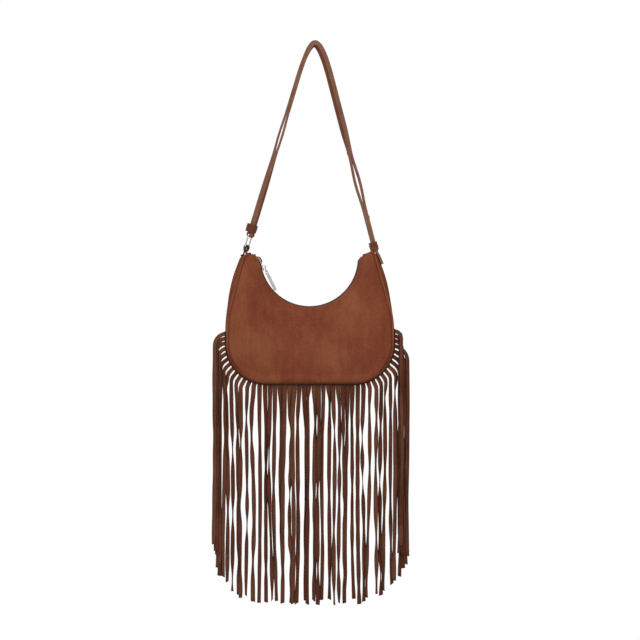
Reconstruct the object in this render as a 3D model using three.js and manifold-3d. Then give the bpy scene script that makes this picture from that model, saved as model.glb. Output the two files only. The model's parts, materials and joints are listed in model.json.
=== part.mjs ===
// A fringed suede shoulder bag: a crescent pouch with a curved zip along its hollow top edge,
// a doubled strap that it hangs by, and one row of cut fringe in the front seam.
// Millimetres, +Z up, front towards -Y. The pouch is drawn about the centre of its opening arc,
// and the whole bag is then moved so that the point it hangs from is the origin.
import * as THREE from 'three';
import { mergeVertices } from 'three/addons/utils/BufferGeometryUtils.js';
import Module from 'manifold-3d';

// Pouch outline, seen from the front
const openingRadius = 78;
const openingCorner = 9;
const openingTop = 1;
const tipTop = 3;
const tipWidth = 16;
const tipRound = 6;
const rightTipRise = 3.5;
const rightTipLevel = 0.7;
const bodyHalfWidth = 130;
const shoulderHeight = -118;
const sideRadius = 150;
const cornerRadius = 60;
const bodyBottom = -200;

// Pouch depth and the suede it is cut from
const halfDepth = 28;
const tipHalfDepth = 9;
const openingHalfWidth = 6;
const panelDome = 15;
const sideBulge = 2.6;
const shoulderSwell = 9;
const swellTop = 40;
const suedeThickness = 1.8;
const liningThickness = 0.8;
const liningSlack = 1.2;
const pipingRadius = 2;

// Clearances: sewn layers, the panel edge beside its piping, and pieces that run on each other
const seamGap = 0.3;
const edgeGap = 0.5;
const runGap = 0.5;

// Fringe
const fringeTop = -118;
const headerDepth = 6;
const stripCount = 48;
const stripLength = 348;
const stripWidth = 6.8;
const stripThickness = 1.4;
const stripBend = 14;
const bendPerRise = 0.27;
const stripRoot = 1;

// Zip
const zipDepth = 0.8;
const chainHalfWidth = 2.9;
const chainHeight = 2.2;
const chainSlot = 1.4;
const tapeThickness = 0.8;
const tapeBend = 2.5;
const tapeDepth = 9;
const tapeSlack = 0.8;
const stopLength = 2;
const stopHeight = 2.8;
const sliderLength = 11;
const sliderTopWidth = 8.4;
const sliderLowWidth = 6.8;
const sliderPlate = 1.4;
const sliderNeckLength = 4;
const sliderRestAngle = 78;
const bailLength = 7.4;
const bailWidth = 2.2;
const bailBar = 1.6;
const bailHole = 3.8;
const pullRingRadius = 4;
const pullRingWire = 0.7;
const pullRingLean = 84;
const pullLength = 36;
const pullWidth = 5.0;
const pullThickness = 1.6;
const pullHoleRadius = 1.5;
const pullEyeWall = 1.6;
const pullLean = 75.5;

// Strap and its fittings
const hangHeight = 340.5;
const hangOffset = 8.6;
const apexRadius = 10.6;
const apexStep = 15;
const strapWidth = 12;
const strapThickness = 3;
const plyGap = 0.8;
const twistStart = 110;
const ringTurn = -20;
const ringLength = 24;
const ringSideGap = 1.1;
const ringCorner = 2.6;
const ringWire = 2.4;
const tabWidth = 8;
const tabThickness = 2.4;
const tabInset = 1.8;
const tabRise = 13.5;
const tabPinch = 6.5;
const tabTopFoot = 6;
const tabSideFoot = 4;
const tabTwistSteps = 4;
const keeperWall = 2;
const keeperRound = 1;
const leftKeeperHeight = 13;
const rightKeeperHeight = 14;
const keeperDrop = 3.2;
const rightEndInset = 1.6;
const rightEndRise = 15.2;
const plyEndLap = 3;
const tailStart = 5;
const tailLength = 14;
const upperRivetDrop = 172;
const lowerRivetDrop = 276;
const rivetHeadRadius = 3.2;
const rivetHeadHeight = 1.3;
const rivetCrown = 0.75;
const rivetShankRadius = 1.2;
const rivetWasherRadius = 2.6;
const rivetWasherHeight = 0.6;

const wasm = await Module();
wasm.setup();
const radians = THREE.MathUtils.degToRad;
const lerp = THREE.MathUtils.lerp;
const smoothstep = THREE.MathUtils.smoothstep;
const acrossAxis = new THREE.Vector3(0, 1, 0);

const suede = new THREE.MeshStandardMaterial({ color: 0x7f4730, roughness: 0.95, metalness: 0 });
const gussetSuede = new THREE.MeshStandardMaterial({ color: 0x6f3925, roughness: 0.95, metalness: 0 });
const fringeSuede = new THREE.MeshStandardMaterial({ color: 0x583628, roughness: 0.95, metalness: 0 });
const strapSuede = new THREE.MeshStandardMaterial({ color: 0x6b4330, roughness: 0.9, metalness: 0 });
const cloth = new THREE.MeshStandardMaterial({ color: 0x3a2a22, roughness: 0.9, metalness: 0 });
const tapeCloth = new THREE.MeshStandardMaterial({ color: 0x2e1c14, roughness: 0.85, metalness: 0 });
const nickel = new THREE.MeshStandardMaterial({ color: 0xc9c9cc, roughness: 0.2, metalness: 1 });

const bag = new THREE.Group();
bag.position.set(-hangOffset, 0, -hangHeight);

function addMesh(parent, name, geometry, material) {
  const mesh = new THREE.Mesh(geometry, material);
  mesh.name = name;
  parent.add(mesh);
  return mesh;
}

// Turn a closed geometry right side out if its faces point inwards.
function faceOutwards(geometry) {
  const position = geometry.attributes.position;
  const index = geometry.index;
  const a = new THREE.Vector3();
  const b = new THREE.Vector3();
  const c = new THREE.Vector3();
  let volume = 0;
  for (let i = 0; i < index.count; i += 3) {
    a.fromBufferAttribute(position, index.getX(i));
    b.fromBufferAttribute(position, index.getX(i + 1));
    c.fromBufferAttribute(position, index.getX(i + 2));
    volume += a.dot(b.cross(c));
  }
  if (volume < 0) {
    for (let i = 0; i < index.count; i += 3) {
      const first = index.getX(i);
      index.setX(i, index.getX(i + 1));
      index.setX(i + 1, first);
    }
  }
  return geometry;
}

// Move every vertex of a geometry to where place() puts it.
function remap(geometry, place) {
  const position = geometry.attributes.position;
  const vertex = new THREE.Vector3();
  for (let i = 0; i < position.count; i += 1) {
    vertex.fromBufferAttribute(position, i);
    const point = place(vertex);
    position.setXYZ(i, point.x, point.y, point.z);
  }
  return faceOutwards(geometry);
}

// A closed sheet: place(along, across, through) gives its points, each argument from 0 to 1.
function sheet(alongSteps, acrossSteps, place) {
  const box = new THREE.BoxGeometry(1, 1, 1, alongSteps, acrossSteps, 1);
  return remap(box, (vertex) => place(vertex.x + 0.5, vertex.y + 0.5, vertex.z + 0.5));
}

// A closed round rod: place(along, sideways, upwards) gives its points on the unit circle.
function rod(steps, sides, place) {
  const cylinder = new THREE.CylinderGeometry(1, 1, 1, sides, steps);
  return remap(cylinder, (vertex) => place(vertex.y + 0.5, vertex.x, vertex.z));
}

function solidOf(geometry) {
  const bare = geometry.clone();
  bare.deleteAttribute('normal');
  bare.deleteAttribute('uv');
  const merged = mergeVertices(bare, 1e-4);
  return new wasm.Manifold(new wasm.Mesh({
    numProp: 3,
    vertProperties: new Float32Array(merged.attributes.position.array),
    triVerts: new Uint32Array(merged.index.array),
  }));
}

function geometryOf(solid) {
  const mesh = solid.getMesh();
  const geometry = new THREE.BufferGeometry();
  geometry.setAttribute('position', new THREE.BufferAttribute(mesh.vertProperties, mesh.numProp));
  geometry.setIndex(new THREE.BufferAttribute(mesh.triVerts, 1));
  geometry.computeVertexNormals();
  return geometry;
}

// Opening edge of a panel: the arc, with a rounded corner onto each tip. Its plane is X and Z.
const cornerHeight = openingTop - openingCorner;
const cornerAcross = Math.sqrt((openingRadius + openingCorner) ** 2 - cornerHeight ** 2);
const cornerAngle = Math.atan2(-cornerHeight, cornerAcross);
const opening = new THREE.Path();
opening.absarc(-cornerAcross, cornerHeight, openingCorner, Math.PI / 2, cornerAngle, true);
opening.absarc(0, 0, openingRadius, Math.PI + cornerAngle, 2 * Math.PI - cornerAngle, false);
opening.absarc(cornerAcross, cornerHeight, openingCorner, Math.PI - cornerAngle, Math.PI / 2, true);

// Seam around the outside of a panel, from one end of the zip to the other. Each side runs straight
// down from its tip and bends into the vertical at the shoulder.
const tipCorner = cornerAcross + tipWidth;
const sideCentre = bodyHalfWidth - sideRadius;
const tipReach = Math.hypot(tipCorner - sideCentre, tipTop - shoulderHeight);
const tipBearing = Math.atan2(tipTop - shoulderHeight, tipCorner - sideCentre);
const sideAngle = tipBearing - Math.acos(sideRadius / tipReach);
const sideTop = tipCorner + tipRound * Math.sin(sideAngle);
const sideTopHeight = tipTop - tipRound * Math.cos(sideAngle);
const sideBendHeight = shoulderHeight + sideRadius * Math.sin(sideAngle);
const sideBend = sideCentre + sideRadius * Math.cos(sideAngle);
const cornerCentre = bodyHalfWidth - cornerRadius;
const cornerCentreHeight = bodyBottom + cornerRadius;
const seam = new THREE.Path();
seam.moveTo(-cornerAcross, tipTop);
seam.lineTo(-tipCorner + tipRound, tipTop);
seam.quadraticCurveTo(-tipCorner, tipTop, -sideTop, sideTopHeight);
seam.lineTo(-sideBend, sideBendHeight);
seam.absarc(-sideCentre, shoulderHeight, sideRadius, Math.PI - sideAngle, Math.PI, false);
seam.lineTo(-bodyHalfWidth, cornerCentreHeight);
seam.absarc(-cornerCentre, cornerCentreHeight, cornerRadius, Math.PI, 1.5 * Math.PI, false);
seam.lineTo(cornerCentre, bodyBottom);
seam.absarc(cornerCentre, cornerCentreHeight, cornerRadius, 1.5 * Math.PI, 2 * Math.PI, false);
seam.lineTo(bodyHalfWidth, shoulderHeight);
seam.absarc(sideCentre, shoulderHeight, sideRadius, 0, sideAngle, false);
const tipLean = rightTipRise * Math.tan(sideAngle);
const rightTipTop = tipTop + rightTipRise;
const rightInnerTop = tipTop + rightTipRise * rightTipLevel;
seam.lineTo(sideTop - tipLean, sideTopHeight + rightTipRise);
seam.quadraticCurveTo(tipCorner - tipLean, rightTipTop, tipCorner - tipRound, rightInnerTop);
seam.lineTo(cornerAcross, tipTop);
const seamLength = seam.getLength();
const openingLength = opening.getLength();

// Stations along the seam and the opening, shared by every layer and closer together at the tips.
const stationCount = 48;
const tipCrowding = 0.6;

function stationAt(step) {
  const even = step / stationCount;
  return even - tipCrowding * Math.sin(2 * Math.PI * even) / (2 * Math.PI);
}

// A closed sheet that runs from tip to tip, leaving out a few stations at each end.
function layer(endSteps, acrossSteps, place) {
  const steps = stationCount - 2 * endSteps;
  return sheet(steps, acrossSteps, (along, across, through) => (
    place(stationAt(endSteps + Math.round(along * steps)), across, through)
  ));
}

// Direction square to a path, away from the arc centre.
function outward(path, along) {
  const tangent = path.getTangent(along);
  return new THREE.Vector2(tangent.y, -tangent.x);
}

// Half of the pouch's depth at its seams: slim at the tips, full below the shoulders.
function seamHalfDepth(height) {
  return lerp(halfDepth, tipHalfDepth, smoothstep(height, shoulderHeight, tipTop));
}

function panelLength(along) {
  return opening.getPoint(along).distanceTo(seam.getPoint(along));
}

// Middle surface of the front panel, down from the opening edge to the seam.
function panelPoint(along, down) {
  const top = opening.getPoint(along);
  const low = seam.getPoint(along);
  const dome = panelDome * 4 * down * (1 - down) * panelLength(along) / panelLength(0.5);
  const depth = lerp(openingHalfWidth, seamHalfDepth(low.y), down) + dome;
  return new THREE.Vector3(lerp(top.x, low.x, down), -depth, lerp(top.y, low.y, down));
}

// Direction from the front panel into the pouch.
function panelInward(along, down) {
  const reach = 0.004;
  const left = panelPoint(Math.max(0, along - reach), down);
  const right = panelPoint(Math.min(1, along + reach), down);
  const up = panelPoint(along, Math.max(0, down - reach));
  const low = panelPoint(along, Math.min(1, down + reach));
  const inward = right.sub(left).cross(low.sub(up)).normalize();
  return inward.y < 0 ? inward.negate() : inward;
}

function insidePanel(along, down, distance) {
  return panelPoint(along, down).addScaledVector(panelInward(along, down), distance);
}

// The same point on the front (side -1) or the back (side 1) of the bag.
function onSide(side, point) {
  return new THREE.Vector3(point.x, -side * point.y, point.z);
}

const panelDownSteps = 6;
for (const [name, side] of [['front_panel', -1], ['back_panel', 1]]) {
  const panel = layer(0, panelDownSteps, (along, down, through) => (
    onSide(side, insidePanel(along, down, (through - 0.5) * suedeThickness))
  ));
  addMesh(bag, name, panel, suede);
}

// Piping: a rolled cord of suede along each seam, just outside the panel's edge.
const pipingOffset = pipingRadius + edgeGap;
for (const [name, side] of [['front_piping', -1], ['back_piping', 1]]) {
  const piping = rod(stationCount, 6, (along, sideways, upwards) => {
    const station = stationAt(Math.round(along * stationCount));
    const at = seam.getPoint(station);
    const out = outward(seam, station);
    const reach = pipingOffset + sideways * pipingRadius;
    const depth = seamHalfDepth(at.y) + upwards * pipingRadius;
    return new THREE.Vector3(at.x + out.x * reach, side * depth, at.y + out.y * reach);
  });
  addMesh(bag, name, piping, suede);
}

// Gusset: one strip between the two pipings, bulging most between the shoulders and the tips.
const frontLayer = pipingRadius + seamGap + stripThickness + seamGap;
const backLayer = pipingRadius + seamGap;
const gussetOffset = suedeThickness / 2 + seamGap;

function gussetPoint(along, across, lift) {
  const at = seam.getPoint(along);
  const out = outward(seam, along);
  const depth = seamHalfDepth(at.y);
  const up = THREE.MathUtils.clamp((at.y - shoulderHeight) / (swellTop - shoulderHeight), 0, 1);
  const fullBulge = sideBulge + shoulderSwell * Math.sin(Math.PI * up) ** 2;
  const bulge = fullBulge * (1 - Math.max(0, out.y));
  const reach = gussetOffset + bulge * 4 * across * (1 - across) + lift;
  const y = lerp(frontLayer - depth, depth - backLayer, across);
  return new THREE.Vector3(at.x + out.x * reach, y, at.y + out.y * reach);
}

const gusset = layer(0, 4, (along, across, through) => (
  gussetPoint(along, across, (through - 0.5) * suedeThickness)
));
addMesh(bag, 'gusset', gusset, gussetSuede);

// Lining: a thin pouch inside the suede, open along the zip.
const liningGap = suedeThickness / 2 + liningSlack;
const liningEndSteps = 5;
const liningFrontSteps = 4;
const liningSteps = 2 * liningFrontSteps + 3;
const liningSeamClear = 6;
const liningFloorInset = 0.15;

function liningPoint(along, step, through) {
  const distance = liningGap + through * liningThickness;
  const length = panelLength(along);
  const edge = tapeDepth + 2 * seamGap;
  const floorStep = step - liningFrontSteps;
  if (floorStep <= 0 || floorStep >= 3) {
    const fromEdge = floorStep <= 0 ? step : liningSteps - step;
    const down = lerp(edge, length - liningSeamClear, fromEdge / liningFrontSteps) / length;
    return onSide(floorStep <= 0 ? -1 : 1, insidePanel(along, down, distance));
  }
  const across = floorStep === 1 ? liningFloorInset : 1 - liningFloorInset;
  return gussetPoint(along, across, -distance);
}

const lining = layer(liningEndSteps, liningSteps, (along, across, through) => (
  liningPoint(along, Math.round(across * liningSteps), through)
));
addMesh(bag, 'lining', lining, cloth);

// Fringe: an uncut header sewn in behind the front piping, and strips cut below it.
function seamAtHeight(height) {
  let above = 0;
  let below = 0.5;
  for (let i = 0; i < 40; i += 1) {
    const middle = (above + below) / 2;
    if (seam.getPoint(middle).y > height) above = middle;
    else below = middle;
  }
  return above;
}

const fringeStart = seamAtHeight(fringeTop);
const headerDepthAxis = -halfDepth + pipingRadius + seamGap + stripThickness / 2;
const headerEdge = edgeGap + headerDepth;
const fringeHeader = sheet(44, 1, (along, across, through) => {
  const station = lerp(fringeStart, 1 - fringeStart, along);
  const at = seam.getPoint(station);
  const out = outward(seam, station);
  const reach = lerp(edgeGap, headerEdge, across);
  const y = headerDepthAxis + (through - 0.5) * stripThickness;
  return new THREE.Vector3(at.x + out.x * reach, y, at.y + out.y * reach);
});

// A strip leaves the seam squarely, bends down, and turns edge-on as far as it has bent.
function stripGeometry(station) {
  const root = seam.getPoint(station);
  const out = outward(seam, station);
  const start = root.clone().addScaledVector(out, headerEdge - stripRoot);
  const turn = Math.atan2(out.x, -out.y);
  const rise = Math.max(0, root.y - cornerCentreHeight);
  const bend = stripBend + rise * bendPerRise;
  const bendSteps = 3;
  const steps = bendSteps + 2;
  const hang = stripLength - stripRoot - bend * Math.abs(turn);
  return sheet(steps, 1, (along, across, through) => {
    const step = Math.round(along * steps);
    const bent = THREE.MathUtils.clamp((step - 1) / bendSteps, 0, 1);
    const left = turn * (1 - bent);
    const side = Math.sign(turn);
    const at = start.clone();
    if (step > 0) {
      at.addScaledVector(out, stripRoot);
      at.x += side * bend * (Math.cos(left) - Math.cos(turn));
      at.y -= bend * (Math.sin(Math.abs(turn)) - Math.sin(Math.abs(left)));
    }
    if (step === steps) at.y -= hang;
    const flat = (across - 0.5) * stripWidth;
    const thick = (through - 0.5) * stripThickness;
    const twist = Math.abs(turn) * bent;
    const inPlane = flat * Math.cos(twist) - thick * Math.sin(twist);
    const y = headerDepthAxis + flat * Math.sin(twist) + thick * Math.cos(twist);
    return new THREE.Vector3(at.x + inPlane * Math.cos(left), y, at.y + inPlane * Math.sin(left));
  });
}

const fringeSolids = [solidOf(fringeHeader)];
for (let i = 0; i < stripCount; i += 1) {
  const station = lerp(fringeStart, 1 - fringeStart, (i + 0.5) / stripCount);
  fringeSolids.push(solidOf(stripGeometry(station)));
}
addMesh(bag, 'fringe', geometryOf(wasm.Manifold.union(fringeSolids)), fringeSuede);

// Zip: two rows of teeth as plain bars, with a slot between them for the slider's neck.
const tapeEndSteps = 1;
const chainEndSteps = 2;

function zipPoint(along, y, lift) {
  const at = opening.getPoint(along);
  const out = outward(opening, along);
  const reach = zipDepth + lift;
  return new THREE.Vector3(at.x + out.x * reach, y, at.y + out.y * reach);
}

for (const [name, side] of [['zip_chain_front', -1], ['zip_chain_back', 1]]) {
  const chain = layer(chainEndSteps, 1, (along, across, through) => {
    const y = side * lerp(chainSlot / 2, chainHalfWidth, across);
    return zipPoint(along, y, (through - 0.5) * chainHeight);
  });
  addMesh(bag, name, chain, nickel);
}

// Tapes: from the teeth under the panel's edge, then down its inner face.
const tapeGap = suedeThickness / 2 + tapeSlack;
const tapeDeepShare = 0.6;
const tapeBendShare = 0.3;
for (const [name, side] of [['zip_tape_front', -1], ['zip_tape_back', 1]]) {
  const tape = layer(tapeEndSteps, 2, (along, across, through) => {
    if (across === 0) {
      return zipPoint(along, side * (chainHalfWidth + seamGap), (through - 0.5) * tapeThickness);
    }
    const length = panelLength(along);
    const bend = Math.min(tapeBend, tapeBendShare * length);
    const deep = across === 1 ? Math.min(tapeDepth, tapeDeepShare * length) : bend;
    return onSide(side, insidePanel(along, deep / length, tapeGap + through * tapeThickness));
  });
  addMesh(bag, name, tape, tapeCloth);
}

for (const [name, end] of [['zip_stop_left', 0], ['zip_stop_right', 1]]) {
  const block = sheet(1, 1, (along, across, through) => {
    const station = stationAt(chainEndSteps) - (seamGap + along * stopLength) / openingLength;
    const y = lerp(-chainHalfWidth, chainHalfWidth, across);
    return zipPoint(end === 0 ? station : 1 - station, y, (through - 0.5) * stopHeight);
  });
  addMesh(bag, name, block, nickel);
}

// Slider, drawn at the foot of the arc and turned about the arc centre to where it rests.
const slider = new THREE.Group();
slider.rotation.y = radians(sliderRestAngle);
bag.add(slider);
const chainMiddle = openingRadius + zipDepth;
const plateReach = chainHeight / 2 + runGap;
const topPlateHeight = -(chainMiddle - plateReach - sliderPlate / 2);
const lowPlateHeight = -(chainMiddle + plateReach + sliderPlate / 2);
const topPlate = new THREE.BoxGeometry(sliderLength, sliderTopWidth, sliderPlate);
topPlate.translate(0, 0, topPlateHeight);
const lowPlate = new THREE.BoxGeometry(sliderLength, sliderLowWidth, sliderPlate);
lowPlate.translate(0, 0, lowPlateHeight);
const neckWidth = chainSlot - 2 * seamGap;
const neck = new THREE.BoxGeometry(sliderNeckLength, neckWidth, topPlateHeight - lowPlateHeight);
neck.translate(0, 0, (topPlateHeight + lowPlateHeight) / 2);

// Bail: a small bridge on the slider that the pull's ring hangs in.
const bailFoot = topPlateHeight + sliderPlate / 2 - seamGap;
const bailShape = new THREE.Shape();
bailShape.moveTo(-bailLength / 2, bailFoot);
bailShape.lineTo(bailLength / 2, bailFoot);
const bailTop = topPlateHeight + sliderPlate / 2 + bailHole + bailBar;
bailShape.lineTo(bailLength / 2, bailTop - bailBar);
bailShape.lineTo(bailLength / 2 - bailBar, bailTop);
bailShape.lineTo(-bailLength / 2 + bailBar, bailTop);
bailShape.lineTo(-bailLength / 2, bailTop - bailBar);
const bailEye = new THREE.Path();
const bailEyeHalf = bailLength / 2 - bailBar;
bailEye.moveTo(-bailEyeHalf, bailTop - bailBar - bailHole);
bailEye.lineTo(-bailEyeHalf, bailTop - bailBar);
bailEye.lineTo(bailEyeHalf, bailTop - bailBar);
bailEye.lineTo(bailEyeHalf, bailTop - bailBar - bailHole);
bailShape.holes.push(bailEye);
const bail = new THREE.ExtrudeGeometry(bailShape, { depth: bailWidth, bevelEnabled: false });
bail.translate(0, 0, -bailWidth / 2);
bail.rotateX(Math.PI / 2);
const sliderSolid = solidOf(topPlate).add(solidOf(lowPlate)).add(solidOf(neck)).add(solidOf(bail));
addMesh(slider, 'zip_slider', geometryOf(sliderSolid), nickel);

// Pull ring: hangs in the bail, leaning along the zip.
const pullRingGroup = new THREE.Group();
pullRingGroup.position.z = bailTop - bailBar - pullRingWire - seamGap;
pullRingGroup.rotation.y = radians(pullRingLean);
slider.add(pullRingGroup);
const pullRing = new THREE.TorusGeometry(pullRingRadius, pullRingWire, 6, 18);
pullRing.rotateY(Math.PI / 2);
pullRing.translate(0, 0, pullRingRadius);
addMesh(pullRingGroup, 'zip_pull_ring', pullRing, nickel);

// Pull: a flat bar with an eye, lying along the zip below its ring.
const pullGroup = new THREE.Group();
pullGroup.position.z = 2 * pullRingRadius;
pullGroup.rotation.y = radians(pullLean - pullRingLean);
pullRingGroup.add(pullGroup);
const eyeHang = pullHoleRadius - pullRingWire - seamGap;
const pullHalf = pullWidth / 2;
const pullStart = eyeHang - pullHoleRadius - pullEyeWall;
const pullShape = new THREE.Shape();
pullShape.moveTo(pullHalf, pullStart + pullHalf);
pullShape.lineTo(pullHalf, pullStart + pullLength - pullHalf);
pullShape.absarc(0, pullStart + pullLength - pullHalf, pullHalf, 0, Math.PI, false);
pullShape.lineTo(-pullHalf, pullStart + pullHalf);
pullShape.absarc(0, pullStart + pullHalf, pullHalf, Math.PI, 2 * Math.PI, false);
const pullEye = new THREE.Path();
pullEye.absarc(0, eyeHang, pullHoleRadius, 0, 2 * Math.PI, true);
pullShape.holes.push(pullEye);
const pull = new THREE.ExtrudeGeometry(pullShape, {
  depth: pullThickness, bevelEnabled: false, curveSegments: 6,
});
pull.translate(0, 0, -pullThickness / 2);
pull.rotateX(Math.PI / 2);
addMesh(pullGroup, 'zip_pull', pull, nickel);

// Strap layout: two straight legs, tangent to a small arc over the point that the bag hangs from.
const innerPlyRadius = apexRadius + strapThickness / 2;
const plyHalf = (strapThickness + plyGap) / 2;
const legRadius = innerPlyRadius + plyHalf;
const facetDistance = innerPlyRadius * Math.cos(radians(apexStep / 2)) - strapThickness / 2;
const apex = new THREE.Vector2(hangOffset, hangHeight - facetDistance);
const ringBottom = new THREE.Vector2(tabInset - tipCorner, tipTop + tabRise);
const rightEnd = new THREE.Vector2(tipCorner + rightEndInset, tipTop + rightEndRise);

// Tilt of the line from a leg's lower end that touches the apex arc on its outer side.
function legTilt(end) {
  const across = Math.abs(apex.x - end.x);
  const height = apex.y - end.y;
  return Math.atan2(across, height) - Math.asin(legRadius / Math.hypot(across, height));
}

const leftTilt = legTilt(ringBottom);
const rightTilt = legTilt(rightEnd);
const leftUp = new THREE.Vector2(Math.sin(leftTilt), Math.cos(leftTilt));
const leftOut = new THREE.Vector2(-Math.cos(leftTilt), Math.sin(leftTilt));
const rightUp = new THREE.Vector2(-Math.sin(rightTilt), Math.cos(rightTilt));
const rightOut = new THREE.Vector2(Math.cos(rightTilt), Math.sin(rightTilt));
const ringTop = ringBottom.clone().addScaledVector(leftUp, ringLength - ringWire);

// Turn a point about the line of the left leg, which is also the long axis of the ring.
function turnOnLeftLeg(point, angle) {
  const axis = new THREE.Vector3(leftUp.x, 0, leftUp.y);
  const foot = new THREE.Vector3(ringTop.x, 0, ringTop.y);
  return point.sub(foot).applyAxisAngle(axis, angle).add(foot);
}

// A flat strip that follows stations {at, turn} in the plane of X and Z, with its width along Y.
function strip(stations, width, thickness) {
  const steps = stations.length - 1;
  const directions = [];
  for (let i = 0; i < steps; i += 1) {
    directions.push(stations[i + 1].at.clone().sub(stations[i].at).normalize());
  }
  return sheet(steps, 1, (along, across, through) => {
    const i = Math.round(along * steps);
    const before = directions[Math.max(0, i - 1)];
    const after = directions[Math.min(steps - 1, i)];
    const mean = before.clone().add(after).normalize();
    const lift = (through - 0.5) * thickness / mean.dot(before);
    const at = stations[i].at;
    const point = new THREE.Vector3(at.x - mean.y * lift, (across - 0.5) * width, at.y + mean.x * lift);
    return turnOnLeftLeg(point, stations[i].turn);
  });
}

// The same stations with more of them wherever the turn changes, so that the strip twists evenly.
function evenTwist(stations, steps) {
  const even = [stations[0]];
  for (let i = 1; i < stations.length; i += 1) {
    const from = stations[i - 1];
    const to = stations[i];
    const count = from.turn === to.turn ? 1 : steps;
    for (let k = 1; k <= count; k += 1) {
      const share = k / count;
      even.push({ at: from.at.clone().lerp(to.at, share), turn: lerp(from.turn, to.turn, share) });
    }
  }
  return even;
}

// Strap: its tail lies on the right side of the gusset. It rises through the keeper, passes over
// the apex, goes down to the ring, round its top bar, and back over the apex to the keeper.
const foldRadius = ringWire / 2 + runGap + strapThickness / 2;
const strapStations = [];

function addStation(at, turn = 0) {
  strapStations.push({ at, turn });
}

const tailSteps = 3;
const tailLift = suedeThickness / 2 + seamGap + strapThickness / 2;
for (let i = 0; i <= tailSteps; i += 1) {
  const fromEnd = tipWidth + tailStart + tailLength * (1 - i / tailSteps);
  const point = gussetPoint(1 - fromEnd / seamLength, 0.5, tailLift);
  addStation(new THREE.Vector2(point.x, point.z));
}

function onRightLeg(height, layer) {
  return rightEnd.clone().addScaledVector(rightUp, height).addScaledVector(rightOut, layer * plyHalf);
}

function onLeftLeg(height, layer) {
  return ringTop.clone().addScaledVector(leftUp, height).addScaledVector(leftOut, layer * plyHalf);
}

const rightLegLength = Math.sqrt(rightEnd.distanceToSquared(apex) - legRadius ** 2);
const leftLegLength = Math.sqrt(ringTop.distanceToSquared(apex) - legRadius ** 2);
const keeperTop = keeperDrop + leftKeeperHeight;
const twistHeights = [1, 0.75, 0.5, 0.25, 0].map((share) => lerp(keeperTop, twistStart, share));
twistHeights.push(keeperDrop);

function twistAt(height) {
  return radians(ringTurn) * (1 - smoothstep(height, keeperTop, twistStart));
}

// Angles from the vertical at which the apex arc is broken, so that its middle facet is level.
const apexAngles = [];
for (let angle = apexStep / 2; angle < 90 - THREE.MathUtils.radToDeg(leftTilt) - 3; angle += apexStep) {
  apexAngles.push(radians(angle));
  apexAngles.unshift(-radians(angle));
}

function onApex(angle, layer) {
  const radius = legRadius + layer * plyHalf;
  return new THREE.Vector2(apex.x + radius * Math.sin(angle), apex.y + radius * Math.cos(angle));
}

addStation(onRightLeg(-rightKeeperHeight / 2 - plyEndLap, 1));
addStation(onRightLeg(rightKeeperHeight / 2, 1));
addStation(onRightLeg(rightLegLength, 1));
for (const angle of apexAngles.toReversed()) addStation(onApex(angle, 1));
addStation(onLeftLeg(leftLegLength, 1));
for (const height of twistHeights) addStation(onLeftLeg(height, 1), twistAt(height));
const foldSteps = 6;
for (let i = 0; i <= foldSteps; i += 1) {
  const angle = Math.PI * i / foldSteps;
  const at = ringTop.clone().addScaledVector(leftOut, foldRadius * Math.cos(angle));
  addStation(at.addScaledVector(leftUp, -foldRadius * Math.sin(angle)), radians(ringTurn));
}
for (const height of twistHeights.toReversed()) addStation(onLeftLeg(height, -1), twistAt(height));
addStation(onLeftLeg(leftLegLength, -1));
for (const angle of apexAngles) addStation(onApex(angle, -1));
addStation(onRightLeg(rightLegLength, -1));
addStation(onRightLeg(-rightKeeperHeight / 2 - plyEndLap, -1));
const uncutStrap = solidOf(strip(strapStations, strapWidth, strapThickness));

// Rivets: one head inwards above, one head outwards below, through holes in both plies.
const plyStack = 2 * strapThickness + plyGap;
const rivetSeat = plyStack / 2 + seamGap;
const rivetProfile = [
  new THREE.Vector2(0, -rivetSeat - rivetWasherHeight),
  new THREE.Vector2(rivetWasherRadius, -rivetSeat - rivetWasherHeight),
  new THREE.Vector2(rivetWasherRadius, -rivetSeat),
  new THREE.Vector2(rivetShankRadius, -rivetSeat),
  new THREE.Vector2(rivetShankRadius, rivetSeat),
  new THREE.Vector2(rivetHeadRadius, rivetSeat),
  new THREE.Vector2(rivetHeadRadius * rivetCrown, rivetSeat + rivetHeadHeight * rivetCrown),
  new THREE.Vector2(0, rivetSeat + rivetHeadHeight),
];
let strapSolid = uncutStrap;
for (const [name, drop, layer] of [
  ['strap_rivet_upper', upperRivetDrop, -1],
  ['strap_rivet_lower', lowerRivetDrop, 1],
]) {
  const height = (hangHeight - drop - rightEnd.y) / rightUp.y;
  const at = onRightLeg(height, 0);
  const axis = new THREE.Vector3(rightOut.x, 0, rightOut.y).multiplyScalar(layer);
  const facing = new THREE.Quaternion().setFromUnitVectors(acrossAxis, axis);
  const rivet = addMesh(bag, name, new THREE.LatheGeometry(rivetProfile, 12), nickel);
  rivet.position.set(at.x, 0, at.y);
  rivet.quaternion.copy(facing);
  const holeRadius = rivetShankRadius + seamGap;
  const hole = new THREE.CylinderGeometry(holeRadius, holeRadius, 2 * plyStack, 12);
  hole.applyQuaternion(facing);
  hole.translate(at.x, 0, at.y);
  strapSolid = strapSolid.subtract(solidOf(hole));
}
addMesh(bag, 'strap', geometryOf(strapSolid), strapSuede);

// Keepers: short suede bands round both plies, above the ring and above the right tip.
function roundedRectangle(path, halfWidth, halfHeight, round) {
  path.absarc(halfWidth - round, halfHeight - round, round, 0, Math.PI / 2, false);
  path.absarc(round - halfWidth, halfHeight - round, round, Math.PI / 2, Math.PI, false);
  path.absarc(round - halfWidth, round - halfHeight, round, Math.PI, 1.5 * Math.PI, false);
  path.absarc(halfWidth - round, round - halfHeight, round, 1.5 * Math.PI, 2 * Math.PI, false);
  path.closePath();
  return path;
}

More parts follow.
